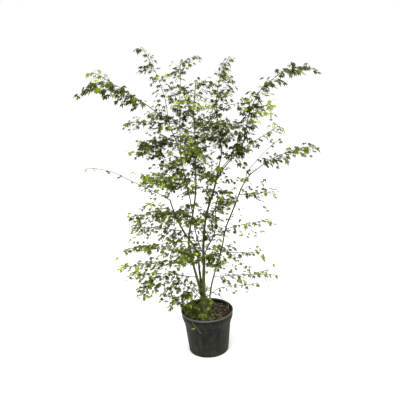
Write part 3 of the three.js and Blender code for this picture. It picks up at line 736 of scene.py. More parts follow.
def twiglet(growth, at, way, length, size, tone, rng):
    """A short side twig with pairs of leaves along it and a pair at its tip."""
    sag = rng.uniform(-0.05, 0.25)
    bend = Vector((rng.uniform(-1, 1), rng.uniform(-1, 1), rng.uniform(-0.4, 0.4))) * 0.12
    points = [at, at + (way + bend) * length * 0.5, at + way * length - UP * length * sag]
    line, reach = rounded(points, 9 * MM)
    growth.tube(line, np.linspace(0.9, 0.5, len(line)) * MM, 5, 2, 0.55)
    pairs = max(1, round(reach / (LEAF_SPACING * 1.15)))
    for pair in range(1, pairs + 1):
        place = pair / pairs * (len(line) - 1)
        k = min(int(place), len(line) - 2)
        spot = Vector(line[k] + (line[k + 1] - line[k]) * (place - k))
        along = Vector(line[k + 1] - line[k]).normalized()
        young = pair / pairs
        leaf_pair(growth, spot, along, 90 * (pair % 2), size * (1.05 - 0.2 * young),
                  tone + 0.12 * young, rng)


def place_along(line, share):
    """A point on an evenly spaced line at a share of its length, and the line's direction there."""
    place = min(max(share, 0), 0.9999) * (len(line) - 1)
    k = int(place)
    step = Vector(line[k + 1] - line[k])
    return Vector(line[k]) + step * (place - k), step.normalized()


def square_ways(along, turn):
    """Two directions square to a stem: level, and over it. On an upright stem they turn with it."""
    side = along.cross(UP)
    side = side.normalized() if side.length > 0.25 else heading(turn)
    return side, side.cross(along).normalized()


def shade_at(line, rng):
    """The shade of a shoot's oldest leaves: deep green where they see the sun, at the crown's top, and
    a thinner green low in the crown."""
    height = float(np.interp(line[:, 2].mean(), [0.45, 0.95, 1.2], [0.34, 0.27, 0.13]))
    return height + rng.uniform(-0.12, 0.12)


def clothe(growth, line, start, style, old, rng):
    """Clothes a shoot from a share of its length to the tip with pairs of leaves and side twigs. old
    is the shade of its oldest leaves."""
    twigs, twig_reach, leaf_size, apart, tilt = (*style, 0)[:5]
    size = LEAF_LENGTH * leaf_size
    span = float(np.linalg.norm(np.diff(line, axis=0), axis=1).sum())
    share, pair = start, 0
    while share < 0.985:
        spot, along = place_along(line, share)
        leaf_pair(growth, spot, along, 90 * (pair % 2), size * (1.05 - 0.15 * share**2),
                  old + 0.22 * share**2, rng)
        share += LEAF_SPACING * apart * rng.uniform(0.85, 1.2) / span
        pair += 1
    spot, along = place_along(line, 1)
    leaf_pair(growth, spot, along, 0, size * 0.85, old + 0.28, rng)
    leaf_pair(growth, spot, along, 90, size * 0.6, old + 0.38, rng)
    share, pair = start, 0
    while twigs and share < 0.93:
        spot, along = place_along(line, share)
        side, over = square_ways(along, pair * 1.1)
        for way in (1, -1):
            if rng.random() > 0.88:
                continue
            angle = math.radians((rng.uniform(-70, 85) if pair % 2 else rng.uniform(-40, 50)) - tilt)
            outward = way * side * math.cos(angle) + over * math.sin(angle)
            spread = math.radians(rng.uniform(38, 65))
            length = twig_reach * rng.uniform(35, 105) * MM * (1.05 - 0.5 * share)
            twiglet(growth, spot, along * math.cos(spread) + outward * math.sin(spread), length,
                    size * 0.95, old + 0.25 * share, rng)
        share += TWIGLET_SPACING / twigs * rng.uniform(0.8, 1.25) / span
        pair += 1


def sprays(growth, line, node):
    """Thin leafy sprays straight from an older stem, all round it, that fill the crown."""
    start, end, count, length = SPRAYS[node]
    rng = random.Random("sprays of " + node)
    for number in range(count):
        share = start + (end - start) * (number + rng.uniform(0.1, 0.9)) / count
        spot, along = place_along(line, share)
        side, over = square_ways(along, 0)
        turn = number * 2.4 + rng.uniform(-0.5, 0.5)
        way = (side * math.cos(turn) + over * math.sin(turn)) * 0.9 + along * rng.uniform(0.1, 0.5)
        way += LEANING.get(node, Vector())
        way = (way + UP * rng.uniform(-0.15, 0.35)).normalized()
        reach = length * rng.uniform(0.5, 1.1)
        end_at = spot + way * reach - UP * reach * rng.uniform(0, 0.2)
        route, _ = rounded([spot, spot + way * reach * 0.5 + UP * reach * 0.06, end_at], 9 * MM)
        growth.tube(route, np.linspace(1.5, 0.8, len(route)) * MM, 6, 2, 0.5)
        old = FRESH_TONE if (node, number) in FRESH_SPRAYS else shade_at(route, rng)
        clothe(growth, route, 0.2, (0.9, 0.6, 0.92, 1.0), old, rng)


# ------------------------------------------------------------------ stems and shoots


def stem_tube(growth, centres, radii, sides, sunk, flare, material, name, knots=0.06):
    """A stem along its CAD centres: its foot is sunk into what carries it and flares there, and it
    swells a little at each old pair of buds."""
    centres = np.array(centres, float)
    begin = centres[1] - centres[0]
    centres = np.vstack([centres[0] - begin / np.linalg.norm(begin) * sunk, centres])
    line, span = rounded(centres, 7 * MM)
    shares = np.linspace(0, 1, len(line))
    thick = np.interp(shares, np.linspace(0, 1, len(radii)), radii)
    gone = shares * span
    thick *= 1 + flare * np.exp(-((gone / (sunk + 2.5 * radii[0])) ** 2))
    rng = random.Random("bark of " + name)
    spacing, first = rng.uniform(55, 75) * MM, rng.uniform(0.2, 0.8)
    thick *= 1 + knots * np.exp(-((((gone / spacing + first) % 1) - 0.5) / 0.06) ** 2)
    growth.tube(line, thick, sides, material, 0.5)
    return line


def woody_stem(node):
    """An older stem of the plant, with bark, the sprays that spring from it, and leaves near its tip
    where the CAD stem has them."""
    centres, radii, points = route_of(node, WOODY_STEMS[node])
    start = leaves_start(centres, points)
    if start < 1:
        centres = shortened(centres, CAD_END_LEAF)
    growth = Growth(LEAF_GREEN, STALK, TWIG, BARK)
    line = stem_tube(growth, centres, np.minimum.accumulate(radii), 16, 6 * MM, 0.25, 3, node)
    if start < 1:
        clothe(growth, line, start, ORDINARY, 0.2, random.Random("tip of " + node))
    if node in SPRAYS:
        sprays(growth, line, node)
    growth.piece(node + "_bark", "bark", node)


def leafy_shoot(node):
    """A younger shoot, green and smooth, with its leaves."""
    centres, radii, points = route_of(node, SHOOT_THICKEST)
    start = leaves_start(centres, points)
    centres = shortened(centres, CAD_END_LEAF)
    radii = np.minimum.accumulate(radii[: max(2, len(centres))])
    growth = Growth(LEAF_GREEN, STALK, TWIG)
    line = stem_tube(growth, centres, radii, 10, 3.5 * MM, 0.45, 2, node, knots=0.1)
    rng = random.Random("leaves of " + node)
    old = FRESH_TONE if node in FRESH_SHOOTS else shade_at(line, rng)
    start = BARE_UNTIL.get(node, max(0.1, start - 0.15))
    clothe(growth, line, start, CLOTHING.get(node, ORDINARY), old, rng)
    if node in SPRAYS:
        sprays(growth, line, node)
    growth.piece(node + "_leafy", "foliage", node)


def trunk():
    """The short thick trunk: it flares into its roots and forks into three stems at its top."""
    centres, radii, points = route_of("trunk", WOODY_STEMS["trunk"])
    low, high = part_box("trunk")
    ends = [points[abs(points[:, 2] - z) < 7 * MM].mean(0) for z in (low.z, high.z)]
    line, span = rounded([ends[0], *centres[1:-1], ends[1]], 5 * MM)
    above = (line[:, 2] - SOIL_CROWN) / (high.z - SOIL_CROWN)
    thick = np.interp(above, [-0.3, 0.02, 0.2, 0.75, 1.0], [22, 21, 17.5, 16.5, 13]) * MM
    growth = Growth(BARK)
    growth.tube(line, thick, 28)
    for node in ("stem_front", "stem_back", "stem_centre"):
        way, wide, _ = route_of(node, WOODY_STEMS[node])
        foot = np.array(way[0]) - np.array([0, 0, 34 * MM])
        foot[:2] = 0.55 * foot[:2] + 0.45 * np.array(ends[1])[:2]
        stub = shortened(np.vstack([foot, way[:4]]), 0.35 * np.linalg.norm(way[3] - way[0]))
        stub_line, _ = rounded(stub, 5 * MM)
        growth.tube(stub_line, np.linspace(wide[0] * 1.35, wide[1] * 1.02, len(stub_line)), 18)
    rng = random.Random("roots")
    for number in range(6):
        way = math.radians(60 * number + rng.uniform(-18, 18))
        out = heading(way)
        base = Vector(line[0])
        base.z = SOIL_CROWN
        reach = rng.uniform(28, 42) * MM
        root = [base + UP * 22 * MM + out * 7 * MM, base + UP * 5 * MM + out * 17 * MM,
                base - UP * 7 * MM + out * reach]
        root_line, _ = rounded(root, 4 * MM)
        growth.tube(root_line, np.linspace(7, 3.5, len(root_line)) * MM, 10)
    piece = growth.piece("trunk_bark", "bark", "trunk")
    remesh = piece.modifiers.new("grown_together", "REMESH")
    remesh.mode, remesh.voxel_size, remesh.use_smooth_shade = "VOXEL", 1.7 * MM, True
    smooth = piece.modifiers.new("smoothed", "SMOOTH")
    smooth.factor, smooth.iterations = 0.5, 10
    settle(piece)
    for vertex in piece.data.vertices:
        knobs = noise.noise(vertex.co * 45) * 1.3 + noise.noise(vertex.co * 160) * 0.45
        vertex.co += vertex.normal * knobs * MM
    piece.data.shade_smooth()


def settle(piece):
    """Applies a piece's modifiers to its mesh, and keeps its materials."""
    bpy.context.view_layer.update()
    kept = list(piece.data.materials)
    shape = bpy.data.meshes.new_from_object(piece.evaluated_get(bpy.context.evaluated_depsgraph_get()))
    piece.modifiers.clear()
    piece.data = shape
    shape.materials.clear()
    for material in kept:
        shape.materials.append(material)


# ------------------------------------------------------------------ pot and soil


def turned(profile, segments, ripple=None):
    """A profile of [radius, height] points turned round the pot's axis, closed on the axis."""
    points, faces, rings = [], [], []
    for radius, height in profile:
        if radius == 0:
            rings.append([len(points)])
            points.append((0, 0, height))
            continue
        rings.append(list(range(len(points), len(points) + segments)))
        for i in range(segments):
            turn = 2 * math.pi * i / segments
            reach = radius + (ripple(turn, radius, height) if ripple else 0)
            points.append((reach * math.cos(turn), reach * math.sin(turn), height))
    for low, high in zip(rings, rings[1:]):
        for i in range(segments):
            j = (i + 1) % segments
            if len(low) == 1:
                faces.append((low[0], high[j], high[i]))
            elif len(high) == 1:
                faces.append((low[i], low[j], high[0]))
            else:
                faces.append((low[i], low[j], high[j], high[i]))
    return points, faces


def arc(centre, radius, start, end, count):
    """Points [radius, height] on an arc in the profile, between two angles in degrees."""
    return [
        (centre[0] + radius * math.cos(math.radians(a)), centre[1] + radius * math.sin(math.radians(a)))
        for a in np.linspace(start, end, count)
    ]


def inside_wall(height):
    """The pot's inner radius at a height."""
    levels, reaches = [0, SHOULDER_FOOT, SHOULDER_TOP], [POT_BASE, BODY_TOP, COLLAR]
    return float(np.interp(height, levels, reaches)) - POT_WALL


def pot():
    """The nursery pot: rolled lip, upright collar, a shoulder in to the tapering body, and drain
    holes. Faint upright ribs stiffen the wall, and a fine ledge marks the shoulder's foot."""
    lip = 5.5 * MM
    outside = [(0, 0), (60 * MM, 0), (96 * MM, 0), (POT_BASE - 2 * MM, 0.1 * MM)]
    outside += arc((POT_BASE - 1.6 * MM, 1.8 * MM), 1.8 * MM, -80, -6, 5)
    for t in np.linspace(0.04, 0.985, 22):
        outside.append((POT_BASE + (BODY_TOP - POT_BASE) * t, 2 * MM + (SHOULDER_FOOT - 5 * MM) * t))
    ledge = [(0.1, -2.2), (1.5, -1.6), (1.8, 0)]
    outside += [(BODY_TOP + out * MM, SHOULDER_FOOT + up * MM) for out, up in ledge]
    for t in (*np.linspace(0.12, 0.5, 5), 0.515, *np.linspace(0.57, 0.95, 5)):
        hollow = 2.2 * MM * math.sin(math.pi * t) * (1 - t) - (1.3 * MM if t > 0.51 else 0)
        reach = BODY_TOP + 1.8 * MM + (COLLAR - BODY_TOP - 3.2 * MM) * t
        outside.append((reach - hollow, SHOULDER_FOOT + (SHOULDER_TOP - SHOULDER_FOOT) * t))
    outside += [(COLLAR - 0.2 * MM, SHOULDER_TOP - 0.2 * MM), (COLLAR + 0.2 * MM, SHOULDER_TOP + 1.2 * MM)]
    outside += [(COLLAR + 0.2 * MM, z) for z in np.linspace(SHOULDER_TOP + 6 * MM, POT_HEIGHT - 15 * MM, 4)]
    outside += [(COLLAR - 1.6 * MM, POT_HEIGHT - 14 * MM), (COLLAR - 1.6 * MM, POT_HEIGHT - 11.4 * MM)]
    outside += arc((POT_RADIUS - lip, POT_HEIGHT - lip), lip, -78, 78, 14)
    outside = [(min(r, POT_RADIUS), z) for r, z in outside]
    inside = [(COLLAR - POT_WALL + 1 * MM, POT_HEIGHT - 0.3 * MM), (COLLAR - POT_WALL, POT_HEIGHT - 2 * MM)]
    inside += [(inside_wall(z), z) for z in np.linspace(POT_HEIGHT - 10 * MM, 8 * MM, 16)]
    inside += [(inside_wall(3 * MM) - 3 * MM, 3.6 * MM), (96 * MM, 3 * MM), (60 * MM, 3 * MM), (0, 3 * MM)]

    def ribs(turn, radius, height):
        on_wall = 8 * MM < height < SHOULDER_FOOT - 4 * MM and radius > POT_BASE - 1 * MM
        return 0.5 * MM * max(0, math.cos(24 * turn)) ** 6 if on_wall else 0

    points, faces = turned(outside + inside, 192, ribs)
    growth = Growth(PLASTIC)
    growth.put(points, faces, 0, 0.5)
    piece = growth.piece("nursery_pot", "pot_plastic", "pot", sharp=35)
    drills = Growth(PLASTIC)
    for number in range(8):
        turn = math.radians(45 * number)
        at = np.array([math.cos(turn), math.sin(turn), 0]) * 76 * MM
        drills.tube([at - [0, 0, 9 * MM], at, at + [0, 0, 9 * MM]], 7 * MM, 24)
    drill = drills.piece("drill", "pot_plastic", smooth=False)
    cut = piece.modifiers.new("drain_holes", "BOOLEAN")
    cut.operation, cut.object, cut.solver = "DIFFERENCE", drill, "EXACT"
    settle(piece)
    bpy.data.objects.remove(drill)
    piece.data.shade_smooth()
    piece.data.set_sharp_from_angle(angle=math.radians(35))


def dome_faces(rings, segments):
    """The faces of a closed dome. Its points are its top, its rings from the top down, and its foot."""
    faces = [(0, 1 + i, 1 + (i + 1) % segments) for i in range(segments)]
    for ring in range(rings - 1):
        upper, lower = 1 + ring * segments, 1 + (ring + 1) * segments
        for i in range(segments):
            j = (i + 1) % segments
            faces.append((upper + i, lower + i, lower + j, upper + j))
    last, foot = 1 + (rings - 1) * segments, 1 + rings * segments
    return faces + [(last + (i + 1) % segments, last + i, foot) for i in range(segments)]


def soil_height(x, y):
    """The soil's surface: a low mound, loose and uneven."""
    mound = SOIL_CROWN - SOIL_RISE * (x * x + y * y) / SOIL_RADIUS**2
    spot = Vector((x, y, 0))
    return mound - 1.2 * MM + (2.6 * noise.noise(spot * 55) + 1.3 * noise.noise(spot * 190)) * MM


def soil():
    """The root ball's peat mix, level with the pot's inside and loose on top."""
    rings, segments = 46, 150
    points = [(0, 0, soil_height(0, 0))]
    for ring in range(1, rings + 1):
        reach = (SOIL_RADIUS - 0.4 * MM) * ring / rings
        for i in range(segments):
            x, y = (reach * f(2 * math.pi * i / segments) for f in (math.cos, math.sin))
            points.append((x, y, soil_height(x, y)))
    levels = [POT_HEIGHT - 26 * MM, SHOULDER_TOP, SHOULDER_FOOT, 80 * MM, 4 * MM]
    for level in levels:
        reach = inside_wall(level) - 0.6 * MM
        for i in range(segments):
            points.append((*(reach * f(2 * math.pi * i / segments) for f in (math.cos, math.sin)), level))
    points.append((0, 0, levels[-1]))
    growth = Growth(PEAT)
    growth.put(points, dome_faces(rings + len(levels), segments), 0, 0.5)
    growth.piece("peat_soil", "potting_soil", "soil", sharp=80)


def lump(rng, length, width, height):
    """An irregular chip: a rounded block with its faces and edges broken."""
    count = 6
    points = []
    for k, t in enumerate(np.linspace(-1, 1, 4)):
        for i in range(count):
            turn = 2 * math.pi * i / count
            narrow = 0.72 if k in (0, 3) else 1.0
            points.append([
                t * length / 2 * rng.uniform(0.85, 1.1),
                math.cos(turn) * width / 2 * narrow * rng.uniform(0.75, 1.2),
                math.sin(turn) * height / 2 * narrow * rng.uniform(0.75, 1.2),
            ])
    points += [[-length * 0.52, 0, 0], [length * 0.52, 0, 0]]
    faces = []
    for k in range(3):
        for i in range(count):
            j = (i + 1) % count
            faces.append((k * count + i, (k + 1) * count + i, (k + 1) * count + j, k * count + j))
    for i in range(count):
        j = (i + 1) % count
        faces.append((i, j, 4 * count))
        faces.append((3 * count + j, 3 * count + i, 4 * count + 1))
    return np.array(points), faces


def scattered(rng, reach, clear):
    """A place on the soil within a reach of the axis and farther than clear from the trunk."""
    while True:
        out, turn = reach * math.sqrt(rng.random()), rng.uniform(0, 2 * math.pi)
        x, y = out * math.cos(turn), out * math.sin(turn)
        if math.hypot(x - TRUNK_FOOT[0], y - TRUNK_FOOT[1]) > clear:
            return x, y


def bark_mulch():
    """Chips of composted bark and crumbs of peat, lying loose on the soil."""
    rng = random.Random("mulch")
    growth = Growth(CHIP)
    for number in range(520):
        big = number % 4 == 0
        length = rng.uniform(11, 24) * MM if big else rng.uniform(3, 10) * MM
        width, height = length * rng.uniform(0.35, 0.6), length * rng.uniform(0.16, 0.32)
        x, y = scattered(rng, SOIL_RADIUS - 9 * MM, 21 * MM)
        points, faces = lump(rng, length, width, height)
        turn = Matrix.Rotation(rng.uniform(0, 6.3), 3, "Z") @ Matrix.Rotation(rng.gauss(0, 0.25), 3, "X")
        turn = turn @ Matrix.Rotation(rng.gauss(0, 0.2), 3, "Y")
        at = np.array([x, y, soil_height(x, y) + height * 0.25])
        growth.put(points @ np.array(turn).T + at, faces, 0, rng.uniform(0.05, 0.9))
    growth.piece("bark_mulch", "potting_soil", sharp=30)


# ------------------------------------------------------------------ moss, weeds and litter


def middle_of(node):
    low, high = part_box(node)
    return (low + high) / 2, (high - low) / 2


def moss():
    """A cushion of moss, lumpy, with its short shoots standing all over it."""
    centre, half = middle_of("moss_pad")
    rng = random.Random("moss")
    growth = Growth(MOSS)

    def height(x, y):
        out = math.hypot((x - centre.x) / half.x, (y - centre.y) / half.y)
        edge = 1 + 0.18 * noise.noise(Vector((x, y, 0)) * 60)
        lumps = 1 + 0.5 * noise.noise(Vector((x, y, 0.1)) * 85)
        return soil_height(x, y) + 9 * MM * max(0, 1 - (out / edge) ** 2) ** 0.6 * lumps - 1.5 * MM

    rings, segments = 14, 60
    points = [(centre.x, centre.y, height(centre.x, centre.y))]
    for ring in range(1, rings + 1):
        for i in range(segments):
            turn = 2 * math.pi * i / segments
            x = centre.x + half.x * 1.05 * ring / rings * math.cos(turn)
            y = centre.y + half.y * 1.05 * ring / rings * math.sin(turn)
            points.append((x, y, height(x, y)))
    points += [(x, y, z - 5 * MM) for x, y, z in points[-segments:]]
    points.append((centre.x, centre.y, height(centre.x, centre.y) - 12 * MM))
    growth.put(points, dome_faces(rings + 1, segments), 0, 0.4)
    for _ in range(1500):
        out, turn = math.sqrt(rng.random()) * 1.04, rng.uniform(0, 6.3)
        x, y = centre.x + half.x * out * math.cos(turn), centre.y + half.y * out * math.sin(turn)
        foot = Vector((x, y, height(x, y) - 0.5 * MM))
        lean = Vector((rng.gauss(0, 0.35), rng.gauss(0, 0.35), 1)).normalized()
        tall = rng.uniform(2.2, 4.5) * MM
        shoot, radii = [foot, foot + lean * tall * 0.6, foot + lean * tall], [0.7 * MM, 0.9 * MM, 0.3 * MM]
        growth.tube(shoot, radii, 4, 0, rng.uniform(0.45, 0.85))
    growth.piece("moss_cushion", "weeds", "moss_pad", sharp=60)


OVAL = [(0.0, 0.0), (0.18, 0.2), (0.45, 0.3), (0.75, 0.22), (1.0, 0.0)]


def blade_shape(widths, droop, fold):
    """A simple leaf a unit long, along +X: pointed at both ends, folded along its midrib."""
    edge, ribs = [], []
    for out, half in widths:
        z = -droop * out * out
        if half == 0:
            edge.append([out, 0, z])
        else:
            edge += [[out, -half, z + fold * half], [out, half, z + fold * half]]
            ribs.append([out, 0, z])
    count, thick = len(ribs), 0.012
    points = edge + [[x, y, z + thick] for x, y, z in ribs] + [[x, y, z - thick] for x, y, z in ribs]
    faces = []
    right = [0, *[1 + 2 * k for k in range(count)], len(edge) - 1]
    left = [0, *[2 + 2 * k for k in range(count)], len(edge) - 1]
    for sheet, flip in ((len(edge), False), (len(edge) + count, True)):
        middle = [sheet + k for k in range(count)]
        sides = [(0, right[1], middle[0]), (0, middle[0], left[1])]
        for k in range(count - 1):
            sides += [(middle[k], right[k + 1], right[k + 2], middle[k + 1]),
                      (middle[k], middle[k + 1], left[k + 2], left[k + 1])]
        sides += [(middle[-1], right[-2], right[-1]), (middle[-1], right[-1], left[-2])]
        faces += [face[::-1] if flip else face for face in sides]
    return np.array(points), faces, np.array([0.0] * len(edge) + [1.0] * (2 * count))


def weed_front():
    """A low weed with a rosette of small oval leaves."""
    centre, half = middle_of("weed_front")
    rng = random.Random("front weed")
    growth = Growth(WEED_GREEN, STALK)
    shape = blade_shape(OVAL, 0.35, 0.4)
    root = Vector((centre.x, centre.y, soil_height(centre.x, centre.y) - 2 * MM))
    for number in range(95):
        out, turn = rng.random() ** 0.7, number * 2.4
        way = heading(turn)
        start = root + way * half.x * 0.3 * rng.random()
        end = root + way * half.x * 0.72 * out + UP * (30 - 17 * out + rng.uniform(-4, 4)) * MM
        stalk = [start, (start + end) / 2 + UP * 3 * MM, end]
        growth.tube(stalk, [0.8 * MM, 0.6 * MM, 0.5 * MM], 4, 1, 0.8)
        forward = (way + UP * rng.uniform(-0.3, 0.5)).normalized()
        size, shade = rng.uniform(9, 14) * MM, rng.uniform(0.6, 1.0)
        lay_leaf(growth, shape, end, forward, facing(forward), size, 0, shade)
    growth.piece("front_weed", "weeds", "weed_front")


def creeping_weed():
    """Creeping weed and dry grass that run over the soil on the left and in front."""
    rng = random.Random("creeping weed")
    growth = Growth(WEED_GREEN, STALK, DRY_WOOD)
    leaflet, three = blade_shape(OVAL, 0.3, 0.35), (-58, 0, 58)

    def ground(turn, out):
        x, y = (out * f(math.radians(turn)) for f in (math.cos, math.sin))
        return Vector((x, y, soil_height(x, y)))

    for number in range(40):
        turn, out = rng.uniform(140, 292), SOIL_RADIUS * rng.uniform(0.3, 0.93)
        start = ground(turn, out)
        end = ground(turn + rng.uniform(-26, 26), min(0.95 * SOIL_RADIUS, out + rng.uniform(-30, 30) * MM))
        top = start.lerp(end, 0.5) + UP * rng.uniform(5, 13) * MM
        runner, _ = rounded([start, top, end + UP * 3 * MM], 6 * MM)
        growth.tube(runner, np.linspace(0.8, 0.5, len(runner)) * MM, 5, 1, rng.uniform(0.5, 0.9))
        for share in np.linspace(0.15, 1, 5):
            spot, along = place_along(runner, share)
            lean = Vector((rng.uniform(-1, 1), rng.uniform(-1, 1), 1.1)).normalized()
            tip = spot + lean * rng.uniform(4, 11) * MM
            growth.tube([spot, spot.lerp(tip, 0.5), tip], [0.5 * MM, 0.45 * MM, 0.4 * MM], 4, 1, 0.8)
            way, shade = rng.uniform(0, 360), rng.uniform(0.0, 0.95) * (1 if turn > 235 else 0.65)
            size = rng.uniform(6, 11) * MM
            for side in three:
                flat = math.radians(way + side)
                forward = heading(flat, rng.uniform(-0.3, 0.35)).normalized()
                lay_leaf(growth, leaflet, tip, forward, facing(forward), size, 0, shade)
    for number in range(85):
        turn, out = rng.uniform(100, 440), SOIL_RADIUS * rng.uniform(0.2, 0.9)
        start, way = ground(turn, out), rng.uniform(0, 6.3)
        reach = heading(way, rng.uniform(0.0, 0.25)) * rng.uniform(14, 42) * MM
        end = start + reach
        if math.hypot(end.x, end.y) > 0.93 * SOIL_RADIUS:
            continue
        end.z = max(end.z, soil_height(end.x, end.y) + 1.5 * MM)
        middle = start.lerp(end, 0.5) + UP * rng.uniform(2, 6) * MM
        straw, _ = rounded([start, middle, end], 6 * MM)
        growth.tube(straw, np.linspace(1.2, 0.6, len(straw)) * MM, 5, 2, rng.uniform(0.5, 1.05))
    growth.piece("creeping_weed", "weeds")


def sedge():
    """A small tuft of sedge against the trunk, its blades narrow and stiff."""
    centre, _ = middle_of("weed_by_trunk")
    rng = random.Random("sedge")
    growth = Growth(REED_GREEN)
    for number in range(52):
        turn, lean = number * 2.4, rng.uniform(0.1, 0.75)
        way = heading(turn)
        length = rng.uniform(24, 44) * MM
        start = Vector((centre.x, centre.y, soil_height(centre.x, centre.y) - 3 * MM)) + way * 6 * MM * lean
        forward = (way * lean + UP).normalized()
        up = (way - forward * way.dot(forward)).normalized() * -1
        shape = blade_shape([(0.0, 0.0), (0.2, 0.045), (0.55, 0.05), (0.8, 0.03), (1.0, 0.0)],
                            -rng.uniform(0.1, 0.4), 0.5)
        lay_leaf(growth, shape, start, forward, up, length, 0, rng.uniform(0.1, 0.95))
    growth.piece("sedge_tuft", "weeds", "weed_by_trunk")


def trailing_weed():
    """A weed's thin runner over the lip, with leaves of three small leaflets."""
    centres, _, _ = route_of("trailing_weed", 1.3 * MM)
    rng = random.Random("runner")
    growth = Growth(WEED_GREEN, STALK)
    line, _ = rounded(centres, 5 * MM)
    growth.tube(line, np.linspace(0.95, 0.7, len(line)) * MM, 8, 1, 0.35)
    shape = blade_shape(OVAL, 0.2, 0.3)
    outward = Vector((centres[-1][0], centres[-1][1], 0)).normalized()
    side = outward.cross(UP)
    for share, way, size in ((0.3, -0.8, 6), (0.5, 1.0, 14), (0.75, -0.5, 4), (0.9, 0.6, 4), (1.0, 0.0, 5)):
        at = Vector(line[round(share * (len(line) - 1))])
        end = at + (outward * 0.5 + side * way - UP * 0.2) * size * 1.1 * MM
        growth.tube([at, (at + end) / 2, end], [0.6 * MM, 0.5 * MM, 0.4 * MM], 4, 1, 0.8)
        for turn in (-62, 0, 62):
            hang, up = (-UP, outward) if share > 0.6 else (outward, UP)
            forward = Matrix.Rotation(math.radians(turn + way * 30), 3, up) @ hang
            forward = (forward + outward * 0.15).normalized()
            lay_leaf(growth, shape, end, forward, up, size * MM, 0, 0.85 if size > 10 else 0.4)
    growth.piece("trailing_runner", "weeds", "trailing_weed")


def strap_leaf():
    """A broad grass blade that has curled over beside the wall."""
    centres, _, _ = route_of("curled_leaf", 4.6 * MM)
    line, _ = rounded(centres, 2.5 * MM)
    outward = Vector((centres[0][0], centres[0][1], 0)).normalized()
    growth = Growth(WEED_GREEN)
    points, faces, tones = [], [], []
    for k, spot in enumerate(line):
        share = k / (len(line) - 1)
        wide = 5.2 * MM * math.sin(math.pi * min(0.98, 0.12 + 0.86 * share)) ** 0.6
        along = line[min(k + 1, len(line) - 1)] - line[max(k - 1, 0)]
        across = Vector(along).cross(outward).normalized()
        for off, lift in ((-1, 1.6), (-0.5, 0.5), (0, 0), (0.5, 0.5), (1, 1.6)):
            flat = Vector(spot) + across * off * wide
            points.append(flat + outward * (lift + 0.25) * MM)
            points.append(flat + outward * (lift - 0.25) * MM)
            tones += [0.55 + 0.35 * share] * 2
    for k in range(len(line) - 1):
        a, b = k * 10, (k + 1) * 10
        for i in range(0, 8, 2):
            faces += [(a + i, a + i + 2, b + i + 2, b + i), (a + i + 1, b + i + 1, b + i + 3, a + i + 3)]
        faces += [(a, b, b + 1, a + 1), (a + 8, a + 9, b + 9, b + 8)]
    for end, order in ((0, 1), ((len(line) - 1) * 10, -1)):
        for i in range(0, 8, 2):
            faces.append((end + i, end + i + 1, end + i + 3, end + i + 2)[::order])
    growth.put([tuple(p) for p in points], faces, 0, tones)
    growth.piece("strap_leaf", "weeds", "curled_leaf")


def dry_twig():
    """A dead twig, kinked at its old buds, standing against the rim."""
    centres, _, _ = route_of("dry_twig", 1.8 * MM)
    growth = Growth(DRY_WOOD)
    line = stem_tube(growth, centres, np.array([1.7, 1.5, 1.0]) * MM, 9, 3 * MM, 0.1, 0, "dry twig", 0.2)
    for share, way in ((0.45, Vector((0.3, 0.5, 0.8))), (0.75, Vector((0.7, -0.3, 0.5)))):
        at = Vector(line[int(share * len(line))])
        growth.tube([at, at + way * 8 * MM, at + way * 15 * MM + UP * MM], np.array([1, 0.8, 0.5]) * MM, 6)
    growth.piece("dead_twig", "litter", "dry_twig")


def fallen_leaf(node, number):
    """A dead maple leaf, dried and curled on the soil."""
    centre, _ = middle_of(node)
    rng = random.Random(node)
    growth = Growth(DEAD_LEAF, STALK)
    way = Vector((-0.14, -0.99, 0)) if number == 0 else Vector((-0.9, -0.42, 0))
    at = Vector((centre.x, centre.y, 0)) - way * 2 * MM
    at.z = soil_height(at.x, at.y) + 6 * MM
    foot = at - way * 24 * MM
    foot.z = soil_height(foot.x, foot.y) + 3 * MM
    growth.tube([foot, (foot + at) / 2 + UP * 2 * MM, at], np.array([0.8, 0.6, 0.6]) * MM, 6, 1, 0.2)
    lay_leaf(growth, DEAD_SHAPES[number], at, way, UP, (26, 21)[number] * MM, 0, rng.uniform(0.4, 0.8))
    growth.piece("dead_leaf_" + "ab"[number], "litter", node)


def leaf_litter():
    """Smaller dead leaves and broken pieces among the chips, mostly at the front."""
    rng = random.Random("litter")
    growth = Growth(DEAD_LEAF)
    for number in range(16):
        x, y = scattered(rng, SOIL_RADIUS - 22 * MM, 26 * MM)
        turn = rng.uniform(0, 6.3)
        way = heading(turn, rng.uniform(-0.1, 0.2))
        up = Vector((rng.gauss(0, 0.3), rng.gauss(0, 0.3), 1))
        up = (up - way * up.dot(way) / way.length_squared).normalized()
        at = Vector((x, y, soil_height(x, y) + 4 * MM))
        shape, size, shade = rng.choice(DEAD_SHAPES), rng.uniform(8, 17) * MM, rng.uniform(0, 1)
        lay_leaf(growth, shape, at, way, up, size, 0, shade)
    growth.piece("leaf_litter", "litter")


# ------------------------------------------------------------------ the plant, put together

pot()
soil()
bark_mulch()
moss()
weed_front()
creeping_weed()
sedge()
trailing_weed()
strap_leaf()
dry_twig()
for number, node in enumerate(("fallen_leaf_a", "fallen_leaf_b")):
    fallen_leaf(node, number)
leaf_litter()
trunk()
for node in WOODY_STEMS:
    if node != "trunk":
        woody_stem(node)
for node in LEAFY_SHOOTS:
    leafy_shoot(node)

# ------------------------------------------------------------------ studio


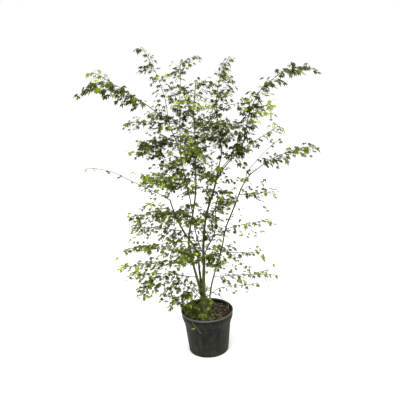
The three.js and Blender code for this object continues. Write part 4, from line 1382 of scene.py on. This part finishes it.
def studio_floor():
    """A seamless floor of matt white paper, with the faint tooth and shading of real paper."""
    material, tree, place = new_material("white_paper")
    tooth = add(tree, "TexNoise", {"Vector": place, "Scale": 700, "Detail": 2})
    shade = add(tree, "ValToRGB", {"Fac": tooth}, stops=[(0.2, "#f6f6f5"), (0.8, "#fbfbfa")])
    surface = relief_surface(tree, shade, 0.9, tooth, 0.1, 0.1 * MM, ior=1.5)
    add(tree, "OutputMaterial", {"Surface": surface})
    reach = 30.0  # past what the camera sees, each way
    mesh = bpy.data.meshes.new("floor")
    corners = [(-reach, -reach, 0), (reach, -reach, 0), (reach, reach, 0), (-reach, reach, 0)]
    mesh.from_pydata(corners, [], [(0, 1, 2, 3)])
    mesh.materials.append(material)
    floor = bpy.data.objects.new("floor", mesh)
    bpy.context.scene.collection.objects.link(floor)


def soft_lamp(name, at, target, size, power):
    """A large square soft box, turned to a point."""
    data = bpy.data.lights.new(name, "AREA")
    data.shape, data.size, data.energy = "SQUARE", size, power
    lamp = bpy.data.objects.new(name, data)
    bpy.context.scene.collection.objects.link(lamp)
    lamp.location = at
    lamp.rotation_euler = (Vector(at) - Vector(target)).to_track_quat("Z", "Y").to_euler()


def studio_light():
    """A white room of even light, with one large soft box high in front and a weaker one behind."""
    world = bpy.data.worlds.new("white_room")
    world.use_nodes = True
    tree = world.node_tree
    tree.nodes.clear()
    room = add(tree, "Background", {"Color": (1, 1, 1, 1), "Strength": 1.0})
    add(tree, "OutputWorld", {"Surface": room})
    bpy.context.scene.world = world
    soft_lamp("key_box", (-1.6, -2.6, 4.2), (0, 0, 0.8), 2.2, 150)
    soft_lamp("back_box", (1.8, 2.4, 3.6), (0, 0, 0.9), 2.2, 60)
    sky = bpy.data.lights.new("ceiling", "SUN")
    sky.energy, sky.angle = 0.5, math.radians(120)
    ceiling = bpy.data.objects.new("ceiling", sky)
    bpy.context.scene.collection.objects.link(ceiling)
    bpy.context.scene.view_settings.view_transform = "Standard"


def camera():
    """A normal lens a little above the plant's top, tipped down to the pot."""
    data = bpy.data.cameras.new("camera")
    data.lens, data.sensor_width = 50, 36
    eye = bpy.data.objects.new("camera", data)
    bpy.context.scene.collection.objects.link(eye)
    stand, tip, roll = (-0.006, -2.731, 1.593), math.radians(15.385), math.radians(3.11)
    forward = Vector((0, math.cos(tip), -math.sin(tip)))
    level = Vector((1, 0, 0))
    upright = level.cross(forward)
    right = level * math.cos(roll) - upright * math.sin(roll)
    over = upright * math.cos(roll) + level * math.sin(roll)
    turn = Matrix((right, over, -forward)).transposed()
    eye.matrix_world = Matrix.Translation(stand) @ turn.to_4x4()
    bpy.context.scene.camera = eye


studio_floor()
studio_light()
camera()
